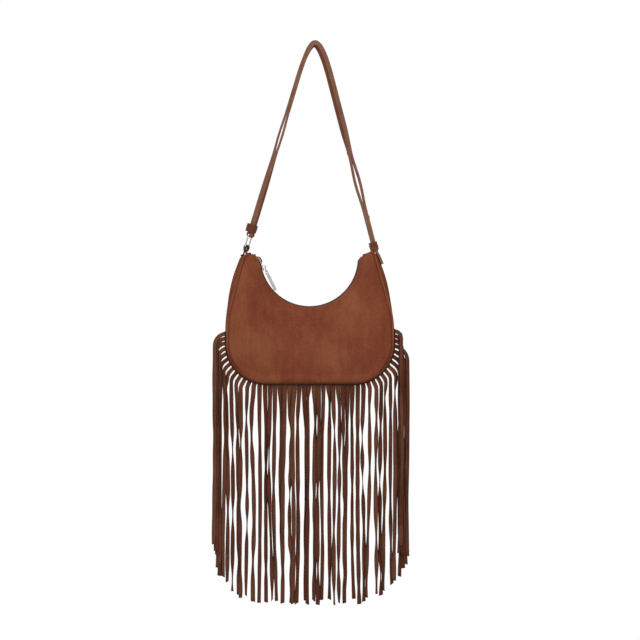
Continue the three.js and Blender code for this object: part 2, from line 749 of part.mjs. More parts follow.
function keeperGeometry(height) {
  const holeHalfX = plyStack / 2 + seamGap;
  const holeHalfY = strapWidth / 2 + seamGap;
  const outerHalfX = holeHalfX + keeperWall;
  const band = roundedRectangle(new THREE.Shape(), outerHalfX, holeHalfY + keeperWall, keeperRound);
  const hole = new THREE.Path();
  hole.moveTo(-holeHalfX, -holeHalfY);
  hole.lineTo(-holeHalfX, holeHalfY);
  hole.lineTo(holeHalfX, holeHalfY);
  hole.lineTo(holeHalfX, -holeHalfY);
  band.holes.push(hole);
  const keeper = new THREE.ExtrudeGeometry(band, { depth: height, bevelEnabled: false, curveSegments: 2 });
  keeper.translate(0, 0, -height / 2);
  return keeper;
}

// Stand a mesh at a point with its own Z up a leg, its X across the leg, and turned about the leg.
function standOnLeg(mesh, at, up, turn) {
  const upwards = new THREE.Vector3(up.x, 0, up.y);
  const sideways = new THREE.Vector3(up.y, 0, -up.x);
  const basis = new THREE.Matrix4().makeBasis(sideways, acrossAxis, upwards);
  mesh.quaternion.setFromRotationMatrix(basis);
  mesh.rotateZ(turn);
  mesh.position.set(at.x, 0, at.y);
}

const leftKeeper = addMesh(bag, 'left_keeper', keeperGeometry(leftKeeperHeight), strapSuede);
const leftKeeperAt = onLeftLeg(keeperDrop + leftKeeperHeight / 2, 0);
standOnLeg(leftKeeper, leftKeeperAt, leftUp, radians(ringTurn));
const rightKeeper = addMesh(bag, 'right_keeper', keeperGeometry(rightKeeperHeight), strapSuede);
standOnLeg(rightKeeper, onRightLeg(0, 0), rightUp, 0);

// Ring: a rounded rectangle of round wire, its long side along the strap.
const ringWidth = strapWidth + 2 * (ringSideGap + ringWire);
const ringPath = new THREE.Path();
roundedRectangle(ringPath, (ringWidth - ringWire) / 2, (ringLength - ringWire) / 2, ringCorner);
const ringSides = 8;
const ringWireRadius = ringWire / 2;
const ringTorus = new THREE.TorusGeometry(1, 0.5, ringSides, 32);
const ringGeometry = remap(ringTorus, (vertex) => {
  const turn = Math.atan2(vertex.y, vertex.x) / (2 * Math.PI);
  const along = turn < -1e-6 ? turn + 1 : Math.max(0, turn);
  const at = ringPath.getPoint(along);
  const out = outward(ringPath, along);
  const reach = (Math.hypot(vertex.x, vertex.y) - 1) / 0.5 * ringWireRadius;
  return new THREE.Vector3(vertex.z / 0.5 * ringWireRadius, at.x + out.x * reach, at.y + out.y * reach);
});
const strapRing = addMesh(bag, 'strap_ring', ringGeometry, nickel);
standOnLeg(strapRing, ringTop.clone().lerp(ringBottom, 0.5), leftUp, radians(ringTurn));

// Tab: a suede strip folded round the ring's lower bar, one end sewn on top of the tip and one on its side.
const tabLift = suedeThickness / 2 + seamGap + tabThickness / 2;
const tabFold = ringWire / 2 + runGap + tabThickness / 2;
const tabStations = [];

const tabLayer = tabThickness + seamGap;
const tabTopFeet = [-tipRound / 2 - tabTopFoot, -tipRound / 2];
const tabSideFeet = [0, tipRound / 3, tipRound * 2 / 3, tipRound, tipRound + tabSideFoot];

// A foot of the tab on the gusset, at a distance down its side from the tip's corner, or along its top.
function tabFoot(fromCorner) {
  const point = gussetPoint((tipWidth + fromCorner) / seamLength, 0.5, tabLift);
  tabStations.push({ at: new THREE.Vector2(point.x, point.z), turn: 0 });
}

// Below the ring the two plies are drawn together, one on each side of the leg's line.
function tabNeck(side) {
  const at = ringBottom.clone().addScaledVector(leftUp, -tabPinch);
  at.addScaledVector(leftOut, side * tabLayer / 2);
  tabStations.push({ at, turn: radians(ringTurn) / 2 });
}

tabTopFeet.forEach(tabFoot);
tabNeck(-1);
for (let i = foldSteps; i >= 0; i -= 1) {
  const angle = Math.PI * i / foldSteps;
  const at = ringBottom.clone().addScaledVector(leftOut, tabFold * Math.cos(angle));
  tabStations.push({ at: at.addScaledVector(leftUp, tabFold * Math.sin(angle)), turn: radians(ringTurn) });
}
tabNeck(1);
tabSideFeet.forEach(tabFoot);
const tab = strip(evenTwist(tabStations, tabTwistSteps), tabWidth, tabThickness);
addMesh(bag, 'ring_tab', tab, strapSuede);

export default bag;
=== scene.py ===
import json
import math
import random
from bisect import bisect_right

import bmesh
import bpy
from mathutils import Matrix, Vector, noise


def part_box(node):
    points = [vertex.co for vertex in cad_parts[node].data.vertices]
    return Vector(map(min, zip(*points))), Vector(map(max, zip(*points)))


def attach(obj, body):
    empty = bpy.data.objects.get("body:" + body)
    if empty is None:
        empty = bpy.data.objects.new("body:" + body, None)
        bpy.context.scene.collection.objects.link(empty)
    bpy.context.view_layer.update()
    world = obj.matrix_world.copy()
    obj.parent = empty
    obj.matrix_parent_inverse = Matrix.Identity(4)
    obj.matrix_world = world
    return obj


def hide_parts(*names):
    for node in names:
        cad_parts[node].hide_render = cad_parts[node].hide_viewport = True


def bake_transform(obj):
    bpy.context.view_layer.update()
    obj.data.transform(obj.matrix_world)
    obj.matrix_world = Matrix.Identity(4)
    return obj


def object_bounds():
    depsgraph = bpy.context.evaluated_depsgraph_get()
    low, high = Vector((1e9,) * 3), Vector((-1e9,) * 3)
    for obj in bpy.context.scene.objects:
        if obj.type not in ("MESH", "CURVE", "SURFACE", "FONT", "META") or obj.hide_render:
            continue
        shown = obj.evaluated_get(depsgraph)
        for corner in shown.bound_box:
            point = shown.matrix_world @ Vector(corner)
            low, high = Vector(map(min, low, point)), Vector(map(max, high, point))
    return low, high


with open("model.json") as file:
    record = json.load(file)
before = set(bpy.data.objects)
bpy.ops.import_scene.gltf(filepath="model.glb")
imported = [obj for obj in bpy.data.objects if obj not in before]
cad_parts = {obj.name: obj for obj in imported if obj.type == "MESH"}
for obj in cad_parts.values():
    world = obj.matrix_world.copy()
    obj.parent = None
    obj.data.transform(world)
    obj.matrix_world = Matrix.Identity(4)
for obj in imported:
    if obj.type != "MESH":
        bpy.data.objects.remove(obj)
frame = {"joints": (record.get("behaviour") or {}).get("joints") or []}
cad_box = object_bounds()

# Camera: it stands level with the middle of the bag, in front of it and a little to its left,
# far enough back that the pouch shows hardly any perspective.
picture_pixels = 640
metres_per_pixel = 0.0016
picture_middle = Vector((0.0074, -0.02, -0.4408))
camera_distance = 4.0
camera_turn = math.radians(-3)
towards_camera = Vector((math.sin(camera_turn), -math.cos(camera_turn), 0))
camera = bpy.data.objects.new("camera", bpy.data.cameras.new("camera"))
bpy.context.scene.collection.objects.link(camera)
bpy.context.scene.camera = camera
camera.location = picture_middle + towards_camera * camera_distance
camera.rotation_euler = (-towards_camera).to_track_quat("-Z", "Y").to_euler()
camera.data.lens = camera.data.sensor_width * camera_distance / (picture_pixels * metres_per_pixel)

# Panels: two crescents of brushed suede, front and back, cut alike. Their hollow top edge is
# folded in and stitched down, the rest of their edge is sewn into the piped seam, and along the
# bottom they lap over the piping.
arc_centre = Vector(next(j for j in frame["joints"] if j["name"] == "zip_travel")["pos_m"])
opening_radius = 0.078
opening_corner = 0.009
opening_top = 0.001
tip_top = 0.003
tip_width = 0.016
tip_round = 0.006
right_tip_rise = 0.0046
right_tip_level = 0.7
body_half_width = 0.130
shoulder_height = -0.118
side_radius = 0.150
corner_radius = 0.060
body_bottom = -0.198
half_depth = 0.028
tip_half_depth = 0.009
opening_half_width = 0.006
panel_dome = 0.015
suede_thickness = 0.0018
hem_width = 0.0050
hem_rise = 0.0006
hem_edge = (hem_width - 0.0005, hem_width + 0.0008)
hem_drop = 0.0024
hem_end = 0.06
corner_drop = 0.0016
corner_drop_at = (0.0, 0.022, 0.046, 0.074)
fold_round = 0.0016
fold_drop = 0.0016
stitch_sink = 0.0006
stitch_sink_width = 0.0006
seam_tuck = 0.0009
bottom_lap = 0.0020
bottom_from = (0.55, 0.97)
lap_lift = 0.0031
lap_reach = (0.004, 0.014)
lap_turn = 0.0014
seam_round = 0.0046
seam_drop = 0.0028
pucker_depth = 0.0003
pucker_count = 150
pucker_reach = 0.005
relief_from = (0.006, 0.02)
slack = 0.0016
slack_size = 0.06
panel_steps = 220
panel_down_steps = 76
row_crowding = 0.88
tip_crowding = 0.6


def lerp(low, high, share):
    return low + (high - low) * share


def clamp(share):
    return min(1.0, max(0.0, share))


def smoothstep(low, high, value):
    share = clamp((value - low) / (high - low))
    return share * share * (3 - 2 * share)


def bow(share):
    """0 at both ends and 1 in the middle."""
    return 4 * share * (1 - share)


def arc(middle, radius, start, end, steps=40):
    """Points on an arc in the plane of X and Z."""
    angles = [lerp(start, end, i / steps) for i in range(steps + 1)]
    return [Vector((middle[0] + radius * math.cos(a), middle[1] + radius * math.sin(a))) for a in angles]


def curve_between(start, pull, end, steps=16):
    """Points on a bend from start to end that is drawn towards pull."""
    shares = [i / steps for i in range(steps + 1)]
    return [start.lerp(pull, t).lerp(pull.lerp(end, t), t) for t in shares]


def walk_along(points):
    """A function from a share of a path to its point there and the direction square to the path."""
    course = [points[0]]
    for point in points[1:]:
        if (point - course[-1]).length > 1e-7:
            course.append(point)
    marks = [0.0]
    for here, there in zip(course, course[1:]):
        marks.append(marks[-1] + (there - here).length)

    def point_at(share):
        mark = clamp(share) * marks[-1]
        i = min(bisect_right(marks, mark), len(course) - 1) - 1
        return course[i].lerp(course[i + 1], (mark - marks[i]) / (marks[i + 1] - marks[i]))

    def walk(share, reach=0.003):
        along = (point_at(share + reach) - point_at(share - reach)).normalized()
        return point_at(share), Vector((along.y, -along.x))

    walk.length = marks[-1]
    return walk


corner_height = opening_top - opening_corner
corner_across = math.sqrt((opening_radius + opening_corner) ** 2 - corner_height ** 2)
corner_angle = math.atan2(-corner_height, corner_across)
opening_at = walk_along(
    arc((-corner_across, corner_height), opening_corner, math.pi / 2, corner_angle)
    + arc((0, 0), opening_radius, math.pi + corner_angle, math.tau - corner_angle, 160)
    + arc((corner_across, corner_height), opening_corner, math.pi - corner_angle, math.pi / 2)
)
tip_corner = corner_across + tip_width
side_centre = body_half_width - side_radius
tip_reach = math.hypot(tip_corner - side_centre, tip_top - shoulder_height)
tip_bearing = math.atan2(tip_top - shoulder_height, tip_corner - side_centre)
side_angle = tip_bearing - math.acos(side_radius / tip_reach)
side_top = Vector((
    -tip_corner - tip_round * math.sin(side_angle),
    tip_top - tip_round * math.cos(side_angle),
))
corner_centre = (-body_half_width + corner_radius, body_bottom + corner_radius)
left_tip = [Vector((-corner_across, tip_top))]
tip_edge = Vector((tip_round - tip_corner, tip_top))
left_tip += curve_between(tip_edge, Vector((-tip_corner, tip_top)), side_top)
left_side = arc((-side_centre, shoulder_height), side_radius, math.pi - side_angle, math.pi)
left_side += arc(corner_centre, corner_radius, math.pi, 1.5 * math.pi, 80)
right_side = [Vector((-p.x, p.y)) for p in reversed(left_side)]
tip_lean = right_tip_rise * math.tan(side_angle)
right_tip = curve_between(
    Vector((-side_top.x - tip_lean, side_top.y + right_tip_rise)),
    Vector((tip_corner - tip_lean, tip_top + right_tip_rise)),
    Vector((tip_corner - tip_round, tip_top + right_tip_rise * right_tip_level)),
)
seam_at = walk_along(left_tip + left_side + right_side + right_tip + [Vector((corner_across, tip_top))])


def in_bag(x, y, z):
    return arc_centre + Vector((x, y, z))


def seam_half_depth(height):
    return lerp(half_depth, tip_half_depth, smoothstep(shoulder_height, tip_top, height))


def bared(along):
    """1 round the left corner of the opening, where the end of the zip shows, and 0 elsewhere."""
    start, full, still, over = corner_drop_at
    return smoothstep(start, full, along) * (1 - smoothstep(still, over, along))


def bottom_share(out):
    """1 along the bottom of the bag, where the panel laps over the piping, and 0 up its sides."""
    return smoothstep(*bottom_from, -out.y)


def panel_ends(along):
    """Where a panel's line begins at the opening and ends at the seam, and how long it is."""
    top, out = opening_at(along)
    low, seam_out = seam_at(along)
    low = low + seam_out * lerp(seam_tuck, bottom_lap, bottom_share(seam_out))
    end_room = smoothstep(0, hem_end, along) * smoothstep(0, hem_end, 1 - along)
    top = top + out * (hem_drop * end_room + corner_drop * bared(along))
    return top, low, (low - top).length


middle_length = panel_ends(0.5)[2]


def panel_point(along, down, side, lift=0.0):
    top, low, length = panel_ends(along)
    dome = panel_dome * bow(down) * length / middle_length
    depth = lerp(opening_half_width, seam_half_depth(low.y), down) + dome + lift
    flat = top.lerp(low, down)
    return in_bag(flat.x, side * depth, flat.y)


def pucker_wave(along):
    return math.sin(math.tau * along * pucker_count)


def panel_relief(along, down, side):
    """How far the suede stands out from its plain dome: hem, stitch line, rolled edge and bottom lap."""
    top, low, length = panel_ends(along)
    from_edge = down * length
    from_seam = (1 - down) * length
    hem = hem_rise * (1 - smoothstep(*hem_edge, from_edge))
    fold = fold_drop * max(0.0, 1 - from_edge / fold_round) ** 2
    groove = stitch_sink * math.exp(-(((from_edge - hem_width) / stitch_sink_width) ** 2))
    lapped = bottom_share(seam_at(along)[1])
    rolled = seam_drop * max(0.0, 1 - from_seam / seam_round) ** 2 * (1 - lapped)
    turned_in = lap_turn * max(0.0, 1 - from_seam / lap_turn) ** 2
    lap = lap_lift * (1 - smoothstep(*lap_reach, from_seam)) - turned_in
    pucker = pucker_depth * pucker_wave(along) * math.exp(-from_seam / pucker_reach)
    flat = top.lerp(low, down)
    wave = slack * noise.noise(Vector((flat.x, side, flat.y)) / slack_size) * bow(down)
    sewn = hem - fold - groove - rolled + pucker
    return smoothstep(*relief_from, length) * sewn + lap * lapped + wave


def add_sheet(bm, along_steps, across_steps, place):
    """Add a grid whose point (along, across), each from 0 to 1, is moved to where place() puts it."""
    bm.loops.layers.uv.verify()
    made = bmesh.ops.create_grid(
        bm, x_segments=along_steps, y_segments=across_steps, size=0.5, calc_uvs=True
    )
    for vertex in made["verts"]:
        vertex.co = place(vertex.co.x + 0.5, vertex.co.y + 0.5)
    return made["verts"]


def make_piece(name, bm, body, slot, *materials):
    """The finished object of a bmesh, which rides on a body if one is given and takes the given materials;
    slot is not used.
    """
    mesh = bpy.data.meshes.new(name)
    bm.to_mesh(mesh)
    bm.free()
    mesh.shade_smooth()
    for material in materials:
        mesh.materials.append(material)
    made = bpy.data.objects.new(name, mesh)
    bpy.context.scene.collection.objects.link(made)
    if body:
        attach(made, body)
    return made


def thicken(made, thickness, back=0, rim=0, soften=0.0, even=True):
    """Give a sheet its thickness, about its middle, with other materials for its back and its cut rim."""
    solid = made.modifiers.new("thickness", "SOLIDIFY")
    solid.thickness = thickness
    solid.offset = 0
    solid.use_even_offset = even
    solid.material_offset = back
    solid.material_offset_rim = rim
    if soften:
        bevel = made.modifiers.new("soft_edges", "BEVEL")
        bevel.width = soften
        bevel.segments = 2
        bevel.angle_limit = math.radians(50)
    return made


def set_inputs(node, **sockets):
    """Set a node's sockets by name, with an underscore for each space."""
    for socket, value in sockets.items():
        node.inputs[socket.replace("_", " ")].default_value = value


def add_node(material, kind, **sockets):
    made = material.node_tree.nodes.new("ShaderNode" + kind)
    set_inputs(made, **sockets)
    return made


def new_material(name):
    material = bpy.data.materials.new(name)
    material.use_nodes = True
    return material, material.node_tree.nodes["Principled BSDF"], material.node_tree.links.new


def noise_on(material, coordinates, scale, detail, stretch=(1, 1, 1)):
    """Noise on the piece's own place, with patches about 1 / scale metres across."""
    link = material.node_tree.links.new
    mapping = add_node(material, "Mapping", Scale=stretch)
    texture = add_node(material, "TexNoise", Scale=scale, Detail=detail, Roughness=0.6)
    link(coordinates, mapping.inputs["Vector"])
    link(mapping.outputs["Vector"], texture.inputs["Vector"])
    return texture.outputs["Fac"]


def weighted(material, first, weight, second):
    """first times weight, plus second."""
    link = material.node_tree.links.new
    made = add_node(material, "Math")
    made.operation = "MULTIPLY_ADD"
    made.inputs[1].default_value = weight
    link(first, made.inputs[0])
    if isinstance(second, float):
        made.inputs[2].default_value = second
    else:
        link(second, made.inputs[2])
    return made.outputs[0]


def tones(material, factor, *stops):
    """A colour ramp from (position, colour) stops."""
    ramp = add_node(material, "ValToRGB")
    elements = ramp.color_ramp.elements
    while len(elements) < len(stops):
        elements.new(0.5)
    for element, (position, colour) in zip(elements, stops):
        element.position = position
        element.color = (*colour, 1)
    material.node_tree.links.new(factor, ramp.inputs["Fac"])
    return ramp.outputs["Color"]


def tinted(colour, *by):
    return tuple(c * f for c, f in zip(colour, by))


def add_bump(material, shader, height, strength, distance):
    link = material.node_tree.links.new
    bump = add_node(material, "Bump", Strength=strength, Distance=distance)
    link(height, bump.inputs["Height"])
    link(bump.outputs["Normal"], shader.inputs["Normal"])


def suede(name, colour, patches=14.0, contrast=1.0, sheen=0.10, shaded=0.0):
    """Brushed suede: cloudy patches where the nap lies over, faint streaks down it, and fine fibre."""
    material, shader, link = new_material(name)
    place = add_node(material, "TexCoord").outputs["Object"]
    cloud = noise_on(material, place, patches, 3.0)
    streak = noise_on(material, place, 90.0, 3.0, (1, 1, 0.16))
    speck = noise_on(material, place, 260.0, 3.0)
    fibre = noise_on(material, place, 1500.0, 2.0)
    tone = weighted(material, cloud, 0.85 * contrast, 0.5 - 0.425 * contrast)
    tone = weighted(material, streak, 0.40 * contrast, tone)
    tone = weighted(material, speck, 0.34 * contrast, tone)
    tone = weighted(material, fibre, 0.26, tone)
    tone = weighted(material, tone, 1.0, -0.13 - 0.37 * contrast)
    # With shaded, the mesh's shade attribute moves the tone: a random tone per strip on the fringe, and
    # painted shade along the bottom of the piping.
    if shaded:
        shade = add_node(material, "Attribute")
        shade.attribute_name = "shade"
        tone = weighted(material, shade.outputs["Fac"], shaded, tone)
    dark = tinted(colour, 0.62, 0.55, 0.52)
    red = tinted(colour, 0.93, 0.84, 0.80)
    olive = tinted(colour, 1.06, 1.16, 1.10)
    pale = tinted(colour, 1.40, 1.52, 1.60)
    nap = tones(material, tone, (0.12, dark), (0.42, red), (0.60, olive), (0.92, pale))
    link(nap, shader.inputs["Base Color"])
    rough = add_node(material, "MapRange", To_Min=0.80, To_Max=1.0)
    link(streak, rough.inputs["Value"])
    link(rough.outputs["Result"], shader.inputs["Roughness"])
    add_bump(material, shader, weighted(material, speck, 0.6, fibre), 0.5, 0.0005)
    set_inputs(shader, Specular_IOR_Level=0.12, Sheen_Weight=sheen, Sheen_Roughness=0.4)
    set_inputs(shader, Sheen_Tint=(*tinted(colour, 2.6, 3.0, 3.2), 1))
    return material


panel_colour = (0.207, 0.058, 0.027)
panel_suede = suede("panel_suede", panel_colour, 11.0, 1.35, 0.06)


def crowd(share, amount):
    """Draw a sheet's evenly spaced lines together towards both of its ends."""
    return share - amount * math.sin(math.tau * share) / math.tau


for node, side in (("front_panel", -1), ("back_panel", 1)):
    bm = bmesh.new()

    def place_panel(along, down):
        along = crowd(along, tip_crowding)
        down = crowd(down, row_crowding)
        return panel_point(along, down, side, panel_relief(along, down, side))

    add_sheet(bm, panel_steps, panel_down_steps, place_panel)
    bm.normal_update()
    if sum(face.normal.y for face in bm.faces) * side < 0:
        bmesh.ops.reverse_faces(bm, faces=bm.faces)
    panel = make_piece(node + "_suede", bm, "bag", "panel_suede", panel_suede)
    thicken(panel, suede_thickness, even=False)
    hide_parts(node)

# Hem stitches: one line of waxed thread along each folded top edge, sunk into the suede.
# The thread is a shade darker than the panel, and each stitch lies in its own dimple.
stitch_pitch = 0.0034
stitch_length = 0.0025
stitch_width = 0.0007
stitch_proud = 0.2
stitch_ends = 0.05
small_step = 0.004
thread_colour = (0.115, 0.030, 0.014)


def turned(middle, x_axis, y_axis, z_axis):
    """A matrix that carries the axes to the three given and the origin to middle."""
    matrix = Matrix((x_axis, y_axis, z_axis)).transposed().to_4x4()
    matrix.translation = middle
    return matrix


def scaled(colour, by):
    return tinted(colour, by, by, by)


def face_out(bm):
    bmesh.ops.recalc_face_normals(bm, faces=bm.faces)


thread, thread_shader, link = new_material("waxed_thread")
thread_place = add_node(thread, "TexCoord").outputs["Object"]
twist = noise_on(thread, thread_place, 2200.0, 2.0)
twist_tone = tones(thread, twist, (0.3, scaled(thread_colour, 0.6)), (0.7, thread_colour))
link(twist_tone, thread_shader.inputs["Base Color"])
add_bump(thread, thread_shader, twist, 0.4, 0.0002)
set_inputs(thread_shader, Roughness=0.55)

for side_name, side in (("front", -1), ("back", 1)):
    bm = bmesh.new()
    stitch_count = round(opening_at.length * (1 - 2 * stitch_ends) / stitch_pitch)
    for i in range(stitch_count + 1):
        along = lerp(stitch_ends, 1 - stitch_ends, i / stitch_count)
        down = hem_width / panel_ends(along)[2]
        lift = panel_relief(along, down, side) + suede_thickness / 2 + stitch_width * stitch_proud
        middle = panel_point(along, down, side, lift)
        run = (panel_point(along + small_step, down, side, lift) - middle).normalized()
        out = run.cross(Vector((-run.z, 0, run.x))).normalized()
        across = out.cross(run)
        form = turned(middle, across * stitch_width, out * stitch_width, run * stitch_length)
        bmesh.ops.create_uvsphere(bm, u_segments=6, v_segments=5, radius=0.5, matrix=form)
    face_out(bm)
    make_piece(side_name + "_hem_stitches", bm, "bag", "panel_suede", thread)

# Zip tapes: two woven dark tapes, each sewn under a panel's folded edge and carrying one row of teeth.
# They stand a little above the suede, so a thin dark line shows along the opening, and at the left
# corner the back tape stands up behind the teeth.
zip_depth = 0.0008
tape_thickness = 0.0006
tape_inner = 0.0009
tape_bend = 0.0046
tape_depth = 0.009
tape_lift = -0.0021
tape_fall = 0.0016
tape_stand = 0.0026
tape_ends = 0.008
tape_most = 0.6
tape_steps = 180
tape_colour = (0.030, 0.013, 0.008)


def beside(at, out, reach, y):
    """The place at depth y that lies a distance outwards from a point of a path."""
    return in_bag(at.x + out.x * reach, y, at.y + out.y * reach)


def zip_point(along, y, lift=0.0):
    return beside(*opening_at(along), zip_depth + lift, y)


def woven(name, colour, threads_along, threads_across, roughness):
    """Cloth with a plain weave on the sheet's own UV map."""
    material, shader, link = new_material(name)
    uv = add_node(material, "TexCoord").outputs["UV"]
    bands = []
    for stretch, way in (((threads_along, 1, 1), "X"), ((1, threads_across, 1), "Y")):
        mapping = add_node(material, "Mapping", Scale=stretch)
        wave = add_node(material, "TexWave", Scale=0.5, Distortion=0.4, Detail=1.0)
        wave.bands_direction = way
        link(uv, mapping.inputs["Vector"])
        link(mapping.outputs["Vector"], wave.inputs["Vector"])
        bands.append(wave.outputs["Fac"])
    weave = weighted(material, bands[0], 0.5, weighted(material, bands[1], 0.5, 0.0))
    tone = tones(material, weave, (0.2, scaled(colour, 0.45)), (0.8, scaled(colour, 1.4)))
    link(tone, shader.inputs["Base Color"])
    add_bump(material, shader, weave, 0.6, 0.0003)
    set_inputs(shader, Roughness=roughness)
    return material


tape_cloth = woven("zip_tape_weave", tape_colour, 420, 22, 0.75)
for node, panel_node, side in (("zip_tape_front", "front_panel", -1), ("zip_tape_back", "back_panel", 1)):
    bm = bmesh.new()

    def place_tape(along, across):
        along = lerp(tape_ends, 1 - tape_ends, crowd(along, tip_crowding))
        if across <= 0.5:
            fall = (tape_fall if side < 0 else -tape_stand) * bared(along) * across * 2
            return zip_point(along, side * lerp(tape_inner, tape_bend, across * 2), fall)
        length = panel_ends(along)[2]
        deep = min(tape_depth, tape_most * length) * (across * 2 - 1)
        return panel_point(along, deep / length, side, tape_lift)

    add_sheet(bm, tape_steps, 10, place_tape)
    face_out(bm)
    tape = make_piece(node + "_cloth", bm, "bag", "tape_cloth", tape_cloth)
    thicken(tape, tape_thickness)
    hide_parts(node)

# Zip teeth: small nickel castings clamped on the inner edge of each tape, the two rows half a pitch
# apart. They run round both corners of the opening. Along it they take a dark nickel as painted shade,
# and at the left end they keep the plain bright nickel. A clamped stop closes each end.
tooth_pitch = 0.0024
tooth_length = 0.0014
tooth_head = 0.00045
tooth_root = 0.0025
tooth_height = 0.0021
tooth_middle = (tooth_head + tooth_root) / 2
tooth_size = (tooth_length, tooth_root - tooth_head, tooth_height)
tooth_bevel = 0.00028
head_taper = (0.8, 1, 0.72)
chain_start = 0.017
stop_share = 0.0119
stop_size = (0.0024, 0.0064, 0.0040)
stop_lift = -0.0008
stop_bevel = 0.0007
bright_teeth_to = -0.0815
handling_wear = 0.12


def polished(name, colour, roughness):
    """Plated metal: even gloss with faint cloudy handling marks and fine scratches."""
    material, shader, link = new_material(name)
    place = add_node(material, "TexCoord").outputs["Object"]
    marks = noise_on(material, place, 320.0, 4.0)
    scratch = noise_on(material, place, 900.0, 2.0, (1, 1, 0.1))
    link(tones(material, marks, (0.3, scaled(colour, 0.82)), (0.7, colour)), shader.inputs["Base Color"])
    gloss = add_node(material, "MapRange", From_Min=0.3, From_Max=0.7)
    set_inputs(gloss, To_Min=roughness, To_Max=roughness + handling_wear)
    link(marks, gloss.inputs["Value"])
    link(gloss.outputs["Result"], shader.inputs["Roughness"])
    add_bump(material, shader, scratch, 0.08, 0.0002)
    set_inputs(shader, Metallic=1, Specular_Tint=(0.22, 0.21, 0.20, 1))
    return material


nickel = polished("polished_nickel", (0.50, 0.49, 0.47), 0.14)
# Dark nickel for the teeth along the opening: painted shade.
shaded_tooth_nickel = polished("shaded_tooth_nickel", (0.10, 0.085, 0.07), 0.34)


def add_box(bm, form, size):
    return bmesh.ops.create_cube(bm, size=1, matrix=form @ Matrix.Diagonal((*size, 1)))["verts"]


def edges_at(verts):
    return {edge for vertex in verts for edge in vertex.link_edges}


def round_edges(bm, edges, width, segments):
    return bmesh.ops.bevel(
        bm, geom=list(edges), offset=width, offset_type="OFFSET", affect="EDGES",
        segments=segments, profile=0.5, material=-1, clamp_overlap=True,
    )


def add_block(bm, form, size, bevel_width, segments):
    """Add a box of that size with its edges rounded."""
    round_edges(bm, edges_at(add_box(bm, form, size)), bevel_width, segments)


def zip_frame(along, y, lift=0.0):
    """The place of a piece on the zip: X runs along it, Y across it, and Z stands out of the opening."""
    out = opening_at(along)[1]
    along_zip = Vector((-out.y, 0, out.x))
    up = Vector((-out.x, 0, -out.y))
    return turned(zip_point(along, y, lift), along_zip, Vector((0, 1, 0)), up)


for node, side, first in (("zip_chain_front", -1, 0.25), ("zip_chain_back", 1, 0.75)):
    bm = bmesh.new()
    tooth_count = int(opening_at.length * (1 - 2 * chain_start) / tooth_pitch)
    for i in range(tooth_count):
        along = lerp(chain_start, 1 - chain_start, (i + first) / tooth_count)
        form = zip_frame(along, side * tooth_middle)
        tooth = add_box(bm, form, tooth_size)
        head = [v for v in tooth if abs(v.co.y) < tooth_middle]
        bmesh.ops.scale(bm, vec=head_taper, verts=head, space=form.inverted())
    round_edges(bm, bm.edges, tooth_bevel, 1)
    face_out(bm)
    # Teeth at the left end keep the bright nickel, and the rest take the dark nickel that paints shade.
    for face in bm.faces:
        face.material_index = face.calc_center_median().x < bright_teeth_to
    teeth = make_piece(node + "_teeth", bm, "bag", "nickel", shaded_tooth_nickel, nickel)
    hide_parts(node)

for node, along in (("zip_stop_left", stop_share), ("zip_stop_right", 1 - stop_share)):
    bm = bmesh.new()
    add_block(bm, zip_frame(along, 0.0, stop_lift), stop_size, stop_bevel, 3)
    stop = make_piece(node + "_clamp", bm, "bag", "nickel", nickel)
    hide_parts(node)

# Zip slider: a nickel casting of two plates joined by a neck between the rows of teeth, with turned-in
# flanges along its upper plate and an arched bail on top. It runs on the teeth along the whole arc.
slider_rest = math.radians(78)
chain_middle = opening_radius + zip_depth
plate_thickness = 0.0014
plate_gap = 0.0016
upper_plate_size = (0.011, 0.0084, plate_thickness)
lower_plate_size = (0.011, 0.0068, plate_thickness)
upper_plate_height = -(chain_middle - plate_gap - plate_thickness / 2)
lower_plate_height = -(chain_middle + plate_gap + plate_thickness / 2)
closed_end_taper = 0.76
plate_corner = 0.0021
plate_edge = 0.0004
flange_size = (0.0078, 0.0007, 0.0010)
flange_back = -0.0012
flange_inset = 0.00021
flange_sink = 0.0002
small_bevel = 0.0002
neck_size = (0.004, 0.0008, upper_plate_height - lower_plate_height)
bail_length = 0.0058
bail_height = 0.0049
bail_section = (0.0022, 0.0013)
bail_squareness = 0.6
slider_place = Matrix.Translation(arc_centre) @ Matrix.Rotation(slider_rest, 4, "Y")


def rounded_loop(half_x, half_y, share, squareness):
    """A point on a rounded rectangle, share of the way round it."""
    angle = math.tau * share
    c, s = math.cos(angle), math.sin(angle)
    return half_x * math.copysign(abs(c) ** squareness, c), half_y * math.copysign(abs(s) ** squareness, s)


def close_tube(bm):
    """Weld a sheet that has been wrapped into a tube, cap its ends and turn its faces outwards."""
    bmesh.ops.remove_doubles(bm, verts=bm.verts, dist=1e-6)
    ends = [edge for edge in bm.edges if edge.is_boundary]
    if ends:
        bmesh.ops.holes_fill(bm, edges=ends)
    face_out(bm)


def move_to(bm, matrix):
    """Carry a finished shape to its place, with its faces outwards."""
    bmesh.ops.transform(bm, matrix=matrix, verts=bm.verts)
    face_out(bm)


def place_bail(along, around):
    wide, deep = rounded_loop(bail_section[0] / 2, bail_section[1] / 2, around, bail_squareness)
    x, rise = rounded_loop(bail_length / 2 + deep, bail_height + deep, (1 - along) / 2, bail_squareness)
    return Vector((x, wide, upper_plate_height + rise))


